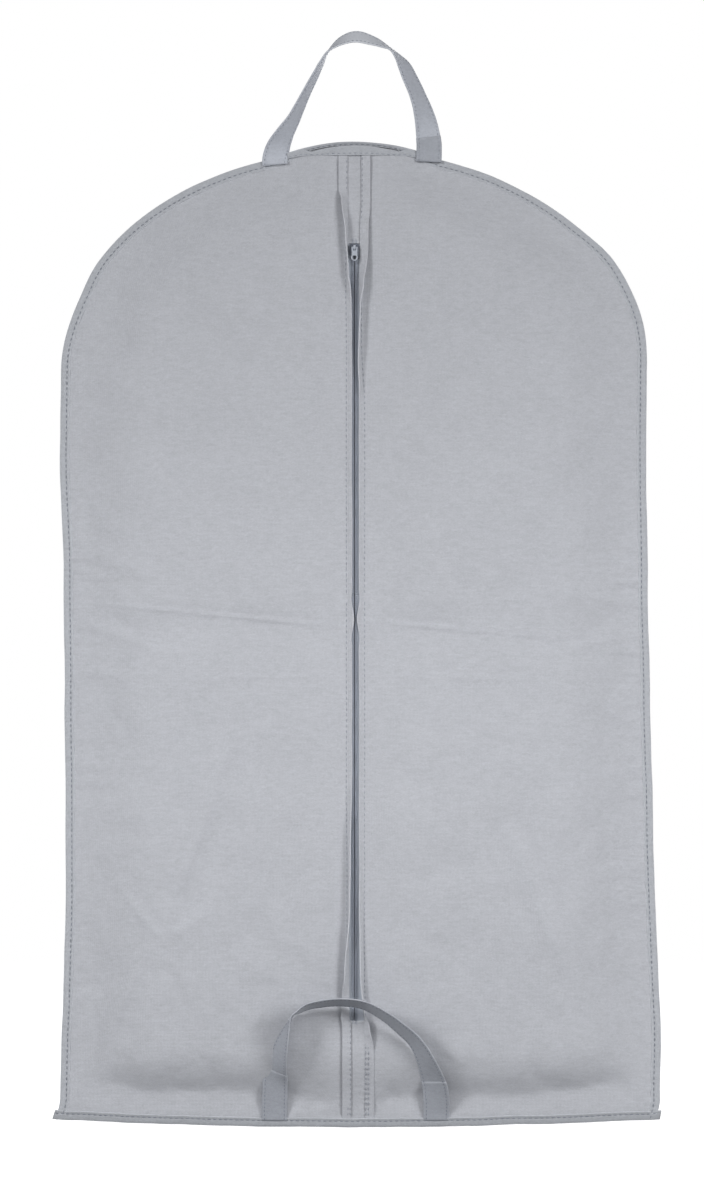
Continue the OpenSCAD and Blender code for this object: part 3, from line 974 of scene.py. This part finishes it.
def hem_binding():
    reach = half_width(HEM_Z) + HEM_OVERHANG
    x = np.linspace(-reach, reach, 330)
    s = x + 0.02
    waves = 0.8 * MM * fractal(s, 0 * s, 70 * MM, 91.0, 2) + 0.3 * MM * fractal(s, 0 * s, 22 * MM, 93.0, 2)
    path = np.stack([x, hem_z(x) + waves], 1)
    inward = path_normals(path)
    over_feet = span(np.abs(x), 66 * MM, 70 * MM) * (1.0 - span(np.abs(x), 95 * MM, 99 * MM))
    over_strips = 1.0 - span(np.abs(x - END_DRIFT), 17 * MM, 21 * MM)
    bulge = 1.1 + 0.6 * over_feet + 0.25 * over_strips
    # The hem tape's darker colour is painted shade.
    piece = sweep_binding("hem_binding_tape", path, inward, SHADED_HEM_TAPE, 95.0, bulge)
    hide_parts("hem_binding")
    thread = stitch_rows("hem_stitches", path, inward, SEAM_IN, 0.5 * RIM_T)
    fixed("lower_half", "binding_fabric", piece, thread)


hem_binding()


def neck_hem():
    """The front neck edge, folded double; its middle stands off the back so that a hook can pass."""
    reach = MOUTH_HALF_W + 6 * MM
    x = np.linspace(-reach, reach, 90)
    away = np.abs(x)
    dip = (4.8 * MM + 1.2 * MM * (x / (43 * MM)) ** 2) * (1.0 - span(away, 42 * MM, 57 * MM))
    top = shoulder_z(x) - dip - 0.4 * MM
    low = np.minimum(NECK_STRIP_Z, front_high_z(x) - 2.5 * MM)
    ripple = 0.4 * MM * fractal(x, 0 * x, 14 * MM, 101.0, 2)
    proud = 0.9 * MM * (1.0 - span(away, 17 * MM, 24 * MM))
    section = binding_section() / np.array([BINDING_W, 0.5 * RIM_T])
    middle_y = RIM_Y - mouth(x) - ripple - 0.3 * MM
    rings = np.stack([
        np.repeat(x[:, None], len(section), 1),
        middle_y[:, None] - 0.62 * MM * section[None, :, 1] - proud[:, None] * (section[None, :, 1] > 0.0),
        top[:, None] + (low - top)[:, None] * section[None, :, 0],
    ], -1)
    piece = tube_sweep("neck_hem_cloth", rings, BINDING)
    # Painted highlight along the neck hem's folded top edge.
    paint_highlight(piece, np.tile(np.where(section[:, 0] < 0.05, 0.6, 0.0), len(x)))
    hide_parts("neck_hem")
    row = np.stack([x, middle_y - 0.55 * MM - proud, lerp(top, low, 0.78)], 1)
    thread = stitches("neck_hem_stitches", row, FORWARD, LIP_THREAD)
    fixed("upper_half", "binding_fabric", piece, thread)


neck_hem()

# ---- zip patches

PATCH_HALF_W = 8.6 * MM


def zip_patch(name, low_z, high_z, body, zip_row, seed):
    """A strip that closes the front beyond the zip, sewn to both lips, with a free edge at the zip."""
    z = np.linspace(low_z, high_z, int((high_z - low_z) / (2.0 * MM)))[:, None]
    across = np.linspace(-1.0, 1.0, 15)[None, :]
    calm = 1.0 - pressed_flat(z)
    swell = (0.35 + 0.5 * fractal(across * PATCH_HALF_W, z, 24 * MM, seed, 2)) * MM
    swell = swell * calm * (1.0 - across ** 2)
    y = front_surface(PATCH_HALF_W + 0 * z, z, 1) + lerp(0.35, -0.5, calm) * MM - swell
    x = across * PATCH_HALF_W + drift(z)
    grid = np.stack(np.broadcast_arrays(x, y, z), -1)
    piece = thick_sheet(name + "_cloth", grid, 2 * SHEET_T, PANEL)
    # Painted highlight along the patch's free edge at the zip.
    edge = np.zeros(grid.shape[:2])
    edge[zip_row] = 1.0
    paint_highlight(piece, np.tile(edge.ravel(), 2))
    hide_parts(name)
    rows = []
    for column in (1, -2):
        line = grid[:, column] - np.array([0.0, SHEET_T, 0.0])
        rows.append(stitches("row", line, FORWARD, LIP_THREAD, 3.6 * MM, 2.4 * MM))
    thread = joined(name + "_stitches", rows)
    fixed(body, "panel_fabric", piece, thread)


zip_patch("top_zip_patch", ZIP_TOP_Z + 0.4 * MM, front_high_z(0.0) - 3 * MM, "upper_half", 0, 111.0)
zip_patch("bottom_zip_patch", hem_z(0.0) + 5 * MM, ZIP_BOTTOM_Z - 0.3 * MM, "lower_half", -1, 113.0)

# ---- zip

COIL_PITCH = 1.45 * MM
COIL_INNER = 0.15 * MM
COIL_OUTER = 3.0 * MM
COIL_FRONT = COIL_Y + 0.25 * MM
COIL_BACK = TAPE_Y - 0.1 * MM
WIRE_R = 0.34 * MM


def coil_row(name, side, low_z, high_z):
    """A flattened helix of monofilament whose inner loops mesh with the other row's."""
    steps = 12
    turns = int((high_z - low_z) / COIL_PITCH)
    t = np.arange(turns * steps + 1) / steps
    angle = 2.0 * math.pi * t
    mid_x = 0.5 * (COIL_INNER + COIL_OUTER)
    half_x = 0.5 * (COIL_OUTER - COIL_INNER) - WIRE_R
    squash = np.sign(np.cos(angle)) * np.abs(np.cos(angle)) ** 0.7
    x = side * (mid_x - half_x * squash)
    y = 0.5 * (COIL_FRONT + COIL_BACK) - (0.5 * (COIL_BACK - COIL_FRONT) - WIRE_R) * np.sin(angle)
    offset = 0.5 * COIL_PITCH if side > 0 else 0.0
    z = high_z - offset - t * COIL_PITCH
    keep = z > low_z
    return sweep_wire(name, np.stack([x, y, z], 1)[keep], WIRE_R, 6, COIL)


def sweep_wire(name, path, radius, sides, material):
    d = tangents(path)
    side = unit(np.cross(d, [0.0, 0.0, 1.0]))
    up = np.cross(side, d)
    angle = 2.0 * math.pi * np.arange(sides) / sides
    rings = rings_along(path, radius * np.cos(angle)[None], side, radius * np.sin(angle)[None], up)
    return tube_sweep(name, rings, material)


def tape_sheet(name, side, low_z, high_z):
    rows = max(3, int((high_z - low_z) / (3 * MM)))
    z = np.linspace(low_z, high_z, rows)[:, None]
    x = np.linspace(0.9 * MM, 13.5 * MM, 9)[None, :]
    x, z = np.broadcast_arrays(side * x, z)
    y = TAPE_Y + 0.35 * MM + 0.15 * MM * fractal(x, z, 30 * MM, 121.0 + side, 2)
    grid = np.stack([x, y, z], -1)
    return thick_sheet(name, grid[:, ::-1] if side < 0 else grid, 0.55 * MM, TAPE)


def zip_side(side):
    label = side_name(side)
    for kind, make, matter in (("tape", tape_sheet, "weave"), ("coil", coil_row, "wire")):
        for part, low_z, high_z in (("upper", CUT_Z, CHAIN_TOP_Z), ("lower", CHAIN_BOTTOM_Z, CUT_Z)):
            node = f"zip_{kind}_{label}_{part}"
            piece = make(f"{node}_{matter}", side, low_z, high_z)
            bend_half(piece, part)
            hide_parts(node)


def zip_end(name, low_z, high_z, body):
    coils = joined(name + "_coils", [coil_row("row", side, low_z, high_z) for side in (-1, 1)])
    tapes = joined(name + "_tapes", [tape_sheet("row", side, low_z, high_z) for side in (-1, 1)])
    fixed(body, "zip_coil", coils)
    fixed(body, "zip_tape", tapes)
    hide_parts(name)


zip_side(-1)
zip_side(1)
zip_end("zip_top_end", CHAIN_TOP_Z, ZIP_TOP_Z + 5 * MM, "upper_half")
zip_end("zip_bottom_end", ZIP_BOTTOM_Z - 5 * MM, CHAIN_BOTTOM_Z, "lower_half")

# ---- slider and pull tab

SLIDER_LOW, SLIDER_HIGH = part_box("zip_slider")
PULL_LOW, PULL_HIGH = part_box("zip_pull")
SLIDER_W = SLIDER_HIGH.x - SLIDER_LOW.x
PULL_W = PULL_HIGH.x - PULL_LOW.x
PIVOT_R = 0.82 * MM
PIVOT_Z = PULL_HIGH.z - PIVOT_R
PIVOT_Y = 0.5 * (PULL_LOW.y + PULL_HIGH.y)
FRONT_PLATE_Y = COIL_Y - 0.85 * MM
BACK_PLATE_Y = SLIDER_HIGH.y - 0.5 * MM
SHARP_ANGLE = math.radians(40)


def arc(x, z, radius, start, end, count):
    angles = np.radians(np.linspace(start, end, count))
    return [(x + radius * math.cos(a), z + radius * math.sin(a)) for a in angles]


def bevelled_plate(name, contours, y, thickness, bevel, material):
    """A flat plate with rounded edges in the XZ plane, from its outline and the contours of its holes."""
    curve = bpy.data.curves.new(name, "CURVE")
    curve.dimensions = "2D"
    curve.fill_mode = "BOTH"
    curve.extrude = 0.5 * thickness - bevel
    curve.bevel_depth = bevel
    curve.bevel_resolution = 3
    curve.offset = -bevel
    for contour in contours:
        line = curve.splines.new("POLY")
        line.points.add(len(contour) - 1)
        for point, (x, z) in zip(line.points, contour):
            point.co = (x, z, 0.0, 1.0)
        line.use_cyclic_u = True
    source = placed(name, curve)
    mesh = bpy.data.meshes.new_from_object(source.evaluated_get(bpy.context.evaluated_depsgraph_get()))
    verts = [(v.co.x, y - v.co.z, v.co.y) for v in mesh.vertices]
    faces = [tuple(p.vertices) for p in mesh.polygons]
    bpy.data.objects.remove(source)
    bpy.data.meshes.remove(mesh)
    piece = mesh_piece(name, verts, faces, material)
    tidy = bmesh.new()
    tidy.from_mesh(piece.data)
    bmesh.ops.remove_doubles(tidy, verts=tidy.verts, dist=0.002 * MM)
    bmesh.ops.recalc_face_normals(tidy, faces=tidy.faces)
    tidy.to_mesh(piece.data)
    tidy.free()
    return piece


def rounded_bar(path, width, thickness, across, material, sides=12):
    """A bar with an oval section along a path; across is the section's wide direction."""
    path = np.asarray(path, float)
    across = np.array([across], float)
    through = unit(np.cross(tangents(path), across))
    angle = 2.0 * math.pi * np.arange(sides) / sides
    wide = np.sign(np.cos(angle)) * np.abs(np.cos(angle)) ** 0.6
    deep = np.sign(np.sin(angle)) * np.abs(np.sin(angle)) ** 0.6
    rings = rings_along(path, 0.5 * width * wide[None], across, 0.5 * thickness * deep[None], through)
    return tube_sweep("bar", rings, material)


def zip_slider():
    """Two shield-shaped plates on a post, side walls that hold the coils in, and the bridge for the pull."""
    top, low = SLIDER_HIGH.z, SLIDER_LOW.z
    half = 0.5 * SLIDER_W
    shield = (
        arc(0.62 * half, top - 2.0 * MM, 1.9 * MM, 90, 0, 7)
        + [(half, top - 4.5 * MM), (half, low + 5.5 * MM)]
        + arc(0.72 * half, low + 1.3 * MM, 1.2 * MM, 0, -90, 6)
    )
    shield += [(-x, z) for x, z in reversed(shield)]
    # The plates, walls and post use the slider's darker lacquer: painted shade.
    pieces = [
        bevelled_plate("front", [shield], FRONT_PLATE_Y, 1.1 * MM, 0.3 * MM, SHADED_SLIDER_METAL),
        bevelled_plate("rear", [shield], BACK_PLATE_Y, 0.9 * MM, 0.25 * MM, SHADED_SLIDER_METAL),
    ]
    for side in (-1, 1):
        wall_x = side * (half - 0.45 * MM)
        wall = [(wall_x, COIL_Y + 0.35 * MM, z) for z in np.linspace(low + 1.6 * MM, top - 3.6 * MM, 8)]
        pieces.append(rounded_bar(wall, 1.9 * MM, 0.8 * MM, (0, 1, 0), SHADED_SLIDER_METAL))
    post = [(0.0, y, top - 2.2 * MM) for y in np.linspace(FRONT_PLATE_Y, BACK_PLATE_Y, 5)]
    pieces.append(rounded_bar(post, 0.9 * MM, 2.6 * MM, (1, 0, 0), SHADED_SLIDER_METAL))
    rise = [
        (2.3, -0.3), (2.35, -1.6), (1.9, -2.7), (0.6, -3.25), (-0.6, -3.25), (-1.6, -2.6), (-2.05, -1.5),
        (-2.05, -0.3),
    ]
    arch = spline([(0.0, FRONT_PLATE_Y + y * MM, PIVOT_Z + z * MM) for z, y in rise], 0.3 * MM)
    bridge = joined("zip_slider_bridge", [rounded_bar(arch, 2.3 * MM, 0.85 * MM, (1, 0, 0), METAL)])
    body = joined("zip_slider_body", pieces)
    for piece in (body, bridge):
        piece.data.set_sharp_from_angle(angle=SHARP_ANGLE)
    fixed("zip_slider", "slider_metal", body, bridge)
    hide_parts("zip_slider")


def zip_pull():
    """A tapered tab with a raised border and a rimmed eye, forked round the slider's bridge."""
    half = 0.49 * PULL_W
    eye_z = PULL_LOW.z + half
    arm = half - 0.35 * MM
    slot = 1.5 * MM
    right = [(slot, PIVOT_Z - 2.9 * MM), (slot, PIVOT_Z + 0.2 * MM)]
    right += arc(arm - 0.8 * MM, PIVOT_Z, 0.8 * MM, 90, 0, 5)
    right += [(0.82 * half, PIVOT_Z - 4.4 * MM), (0.82 * half, eye_z + 2.6 * MM)]
    right += arc(0.0, eye_z, half, 8, -82, 14)
    outline = right + [(-x, z) for x, z in reversed(right)]
    eye = arc(0.0, eye_z, 2.05 * MM, 0, 345, 24)
    pieces = [bevelled_plate("tab", [outline, eye], PIVOT_Y, 1.1 * MM, 0.3 * MM, METAL)]
    rim = [(x, PIVOT_Y - 0.5 * MM, z) for x, z in arc(0.0, eye_z, 2.55 * MM, 0, 360, 33)]
    pieces.append(rounded_bar(rim, 0.84 * MM, 0.84 * MM, (0, 1, 0), METAL, 8))
    border = [(x * 0.86, eye_z + (z - eye_z) * 0.9) for x, z in right[7:]]
    for side in (-1, 1):
        line = [(side * x, PIVOT_Y - 0.5 * MM, z) for x, z in border]
        pieces.append(rounded_bar(spline(line, 0.3 * MM), 0.5 * MM, 0.5 * MM, (0, 1, 0), METAL, 8))
    bar = [(x, PIVOT_Y, PIVOT_Z) for x in np.linspace(-arm + 0.3 * MM, arm - 0.3 * MM, 6)]
    pieces.append(rounded_bar(bar, 1.5 * MM, 1.5 * MM, (0, 1, 0), METAL))
    piece = joined("zip_pull_tab", pieces)
    piece.data.set_sharp_from_angle(angle=SHARP_ANGLE)
    fixed("zip_pull", "slider_metal", piece)
    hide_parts("zip_pull")


zip_slider()
zip_pull()

# ---- handles

STRAP_PITCH, STRAP_STITCH = 4.1 * MM, 2.7 * MM
STRAP_STEP = 2.5 * MM


def strap(name, stations, foot_y, cloth, sewn, seed, turned_in, wear_and_highlight):
    """A twisted strap; turn 0 lies flat, 90 is edge-on.

    turned_in gives the doubled lengths at its left and right ends, with their cloth; the last argument gives
    the height round which a highlight is painted on the strap, and how much.
    """
    s = spline([(x * MM, foot_y - y * MM, z * MM, turn) for x, y, z, turn in stations], STRAP_STEP)
    place = s[:, :3]
    turn = np.radians(s[:, 3])
    tangent = tangents(place)
    flat = unit(np.cross(FORWARD, tangent))
    face = np.cross(tangent, flat)
    across = np.cos(turn)[:, None] * flat + np.sin(turn)[:, None] * face
    through = np.cross(tangent, across)
    run = np.arange(len(place)) * STRAP_STEP
    flex = 0.35 * MM * fractal(run, 0 * run, 18 * MM, seed, 2)
    # Painted highlight: the strap is drawn lighter round the given height, where light falls on the handle's
    # top.
    apex_highlight = wear_and_highlight[1] * bell(place[:, 2], wear_and_highlight[0], 16 * MM)

    def swept(piece_name, width, thickness, keep, material, white):
        section = strap_section(width, thickness)
        cup = (section[:, 0] / (0.5 * STRAP_W)) ** 2
        depth = section[None, :, 1] + cup[None, :] * flex[:, None]
        rings = rings_along(place, section[None, :, 0], across, depth, through)
        piece = tube_sweep(piece_name, rings[keep], material)
        # Painted highlight along both long edges of the strap.
        edge = np.where(np.abs(section[:, 0]) > 0.495 * width, 0.5, 0.0)
        paint_highlight(piece, np.maximum(edge[None, :], white[keep][:, None]))
        return piece

    left_end = (run <= turned_in[0]) & (turned_in[0] > 0.0)
    right_end = (run >= run[-1] - turned_in[1]) & (turned_in[1] > 0.0)
    pieces = [swept(name + "_strap", STRAP_W, STRAP_T, run >= 0.0, cloth, apex_highlight)]
    for label, keep, inward in (("left", left_end, -1), ("right", right_end, 1)):
        if keep.any():
            # A faint painted highlight on the ring where a turned-in end stops.
            last = 0.15 * (keep & ~np.roll(keep, inward))
            end_name = f"{name}_turned_end_{label}"
            pieces.append(
                swept(end_name, STRAP_W + 0.5 * MM, STRAP_T + 0.9 * MM, keep, turned_in[2], last)
            )
    rows = []
    for edge in (-1, 1):
        for side in (-1, 1):
            lift = side * (0.31 * STRAP_T + 0.36 * MM * (left_end | right_end))
            row = place + edge * 0.39 * STRAP_W * across + (lift + 0.61 * flex)[:, None] * through
            rows.append(stitches("row", row, side * through, sewn, STRAP_PITCH, STRAP_STITCH))
    pieces.append(joined(name + "_stitches", rows))
    for piece in pieces:
        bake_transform(piece)
    return pieces[0]


# Stations are (x, forward of the sewn foot, z, turn), in millimetres and degrees.
TOP_STATIONS = [
    (-80.6, 0, -24.0, -2), (-80.8, 0, -19.5, 0), (-79.2, 0, -12.5, 8), (-75.4, 1, -1.5, 34),
    (-69.5, 3, 9.0, 52), (-61.8, 4, 21.4, 64), (-49.7, 6, 46.0, 75), (-40.3, 8, 64.2, 80),
    (-32.5, 8, 79.0, 86), (-26.6, 8, 89.5, 96), (-13.0, 8, 100.2, 116), (2.2, 8, 104.5, 125),
    (18.5, 8, 100.4, 119), (29.0, 8, 95.8, 109), (37.0, 8, 91.6, 101), (44.0, 8, 84.3, 109),
    (50.2, 8, 75.4, 123), (56.5, 7, 62.3, 129), (65.2, 5, 42.5, 134), (71.8, 2, 22.0, 150),
    (75.4, 1, 1.0, 170), (75.8, 0, -11.0, 178), (75.4, 0, -21.0, 181),
]
BOTTOM_STATIONS = [
    (-81.3, -1.6, -993.0, 0), (-81.3, -0.3, -985.0, 0), (-81.2, 2, -975.0, 0), (-80.6, 8, -955.0, -8),
    (-79.3, 16, -938.5, -26), (-76.2, 24, -924.5, -46), (-72.1, 30, -909.0, -62), (-62.8, 34, -883.8, -94),
    (-57.8, 35, -879.3, -101), (-46.2, 36, -872.6, -110), (-26.2, 38, -868.6, -113), (-9.5, 39, -867.9, -114),
    (10.5, 39, -871.3, -115), (30.3, 38, -882.0, -118), (50.2, 34, -898.0, -123), (61.8, 31, -910.0, -125),
    (71.2, 26, -927.2, -134), (79.3, 14, -950.2, -154), (82.2, 6, -968.0, -171), (82.7, -0.3, -985.0, -180),
    (82.8, -1.6, -993.0, -180),
]
TOP_STRAP = strap(
    "top_handle", TOP_STATIONS, HANDLE_Y - 0.4 * MM, STRAP, LIP_THREAD, 131.0,
    turned_in=(0.0, 25 * MM, STRAP_END), wear_and_highlight=(104 * MM, 0.75),
)
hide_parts("top_handle", "top_handle_feet")
# The bottom handle's strap and ends use the darker strap colour: painted shade.
BOTTOM_STRAP = strap(
    "bottom_handle", BOTTOM_STATIONS, RIM_Y - 1.6 * MM, SHADED_LOW_STRAP, THREAD, 137.0,
    turned_in=(55 * MM, 46 * MM, SHADED_LOW_STRAP), wear_and_highlight=(0.0, 0.0),
)
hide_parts("bottom_handle")

# ---- stitch rows beside the zip

def lip_stitches(side):
    """The rows that hold the lips down: one beside the zip, two beside the patches."""
    label = side_name(side)
    z = np.linspace(float(hem_z(0)) + 11 * MM, NECK_STRIP_Z, 420)
    state = lip_state(z, side)
    turned = 1.0 - span(state, 0.0, 0.35)
    for row_name, at_zip, at_end in (("inner", 0.9, 3.4), ("outer", 0.9, 0.8)):
        x = side * (lip_root(z, side) + lerp(at_zip, at_end, turned) * MM)
        raised = lerp(0.0, 1.45 * MM, turned) * (1.0 - 0.6 * pressed_flat(z))
        y = front_surface(x, z, side) - 0.5 * SHEET_T - raised
        wanted = turned > 0.3 if row_name == "outer" else turned > -1.0
        for part, keep in (("upper", z >= CUT_Z), ("lower", z <= CUT_Z)):
            row = np.stack([x, y, z], 1)[keep & wanted]
            thread = stitches(f"lip_stitches_{label}_{row_name}_{part}", row, FORWARD, LIP_THREAD)
            bend_half(thread, part)


lip_stitches(-1)
lip_stitches(1)

# ---- stage, light and camera

PICTURE_SPAN = 1.2037                     # metres that the picture's height covers at the bag
CAMERA_DISTANCE = 3.2
SENSOR = 36.0
CENTRE = Vector((-2.5 * MM, 0.0, -0.459))


def floor():
    size = 3.0
    z = HEM_Z - 1.5 * MM
    mesh = bpy.data.meshes.new("floor")
    corners = [(-size, -size, z), (size, -size, z), (size, size, z), (-size, size, z)]
    mesh.from_pydata(corners, [], [(0, 1, 2, 3)])
    piece = placed("floor", mesh)
    m = Nodes("floor_white")
    x, y, _ = m.axes()
    radius = m.math("SQRT", m.plus(m.times(x, x), m.times(y, y)))
    fade = m.math("SUBTRACT", 1.0, m.math("DIVIDE", m.math("SUBTRACT", radius, 0.45), 1.1), clamp=True)
    mixer = m.node("MixShader", Fac=fade)
    m.link(m.node("BsdfTransparent").outputs[0], mixer.inputs[1])
    m.link(m.shader.outputs[0], mixer.inputs[2])
    m.link(mixer.outputs[0], m.out.inputs["Surface"])
    seen = m.node("LightPath").outputs["Is Camera Ray"]
    m.set(Base_Color=(0.5, 0.5, 0.5), Roughness=0.9)
    m.shader.inputs["Specular IOR Level"].default_value = 0.0
    m.set(Emission_Color=(1.0, 1.0, 1.0), Emission_Strength=m.times(seen, 0.9))
    mesh.materials.append(m.material)


def world():
    scene_world = bpy.data.worlds.new("studio")
    bpy.context.scene.world = scene_world
    scene_world.use_nodes = True
    tree = scene_world.node_tree
    tree.nodes.clear()
    out = tree.nodes.new("ShaderNodeOutputWorld")
    seen = tree.nodes.new("ShaderNodeBackground")
    lit = tree.nodes.new("ShaderNodeBackground")
    path = tree.nodes.new("ShaderNodeLightPath")
    mixer = tree.nodes.new("ShaderNodeMixShader")
    seen.inputs["Color"].default_value = (1.0, 1.0, 1.0, 1.0)
    lit.inputs["Color"].default_value = (0.97, 0.98, 1.0, 1.0)
    lit.inputs["Strength"].default_value = 0.14
    tree.links.new(path.outputs["Is Camera Ray"], mixer.inputs[0])
    tree.links.new(lit.outputs[0], mixer.inputs[1])
    tree.links.new(seen.outputs[0], mixer.inputs[2])
    tree.links.new(mixer.outputs[0], out.inputs["Surface"])


def area_light(name, place, target, size, power):
    data = bpy.data.lights.new(name, "AREA")
    data.shape = "RECTANGLE"
    data.size, data.size_y = size
    data.energy = power
    lamp = placed(name, data)
    lamp.location = place
    lamp.rotation_euler = (Vector(target) - Vector(place)).to_track_quat("-Z", "Y").to_euler()
    lamp.visible_camera = False


def studio():
    area_light("key", (-6.5, -5.2, 2.8), (0, 0, -0.5), (2.0, 2.0), 380)
    area_light("fill", (5.0, -4.0, 1.0), (0, 0, -0.5), (2.2, 2.2), 210)
    area_light("low_front", (0.0, -0.62, -0.56), (0, 0, -0.56), (2.0, 0.2), 2.75)
    area_light("rear", (0.6, 3.0, 0.4), (0, 0, -0.5), (2.0, 2.0), 85)


def camera():
    data = bpy.data.cameras.new("camera")
    data.sensor_fit = "VERTICAL"
    data.sensor_width = SENSOR
    data.sensor_height = SENSOR
    data.lens = SENSOR * CAMERA_DISTANCE / PICTURE_SPAN
    data.clip_end = 20.0
    piece = placed("camera", data)
    piece.location = CENTRE + Vector((0.0, -CAMERA_DISTANCE, 0.0))
    piece.rotation_euler = (math.pi / 2, 0.0, 0.0)
    bpy.context.scene.camera = piece


floor()
world()
studio()
camera()
bpy.context.scene.view_settings.view_transform = "Standard"
bpy.context.scene.view_settings.look = "None"
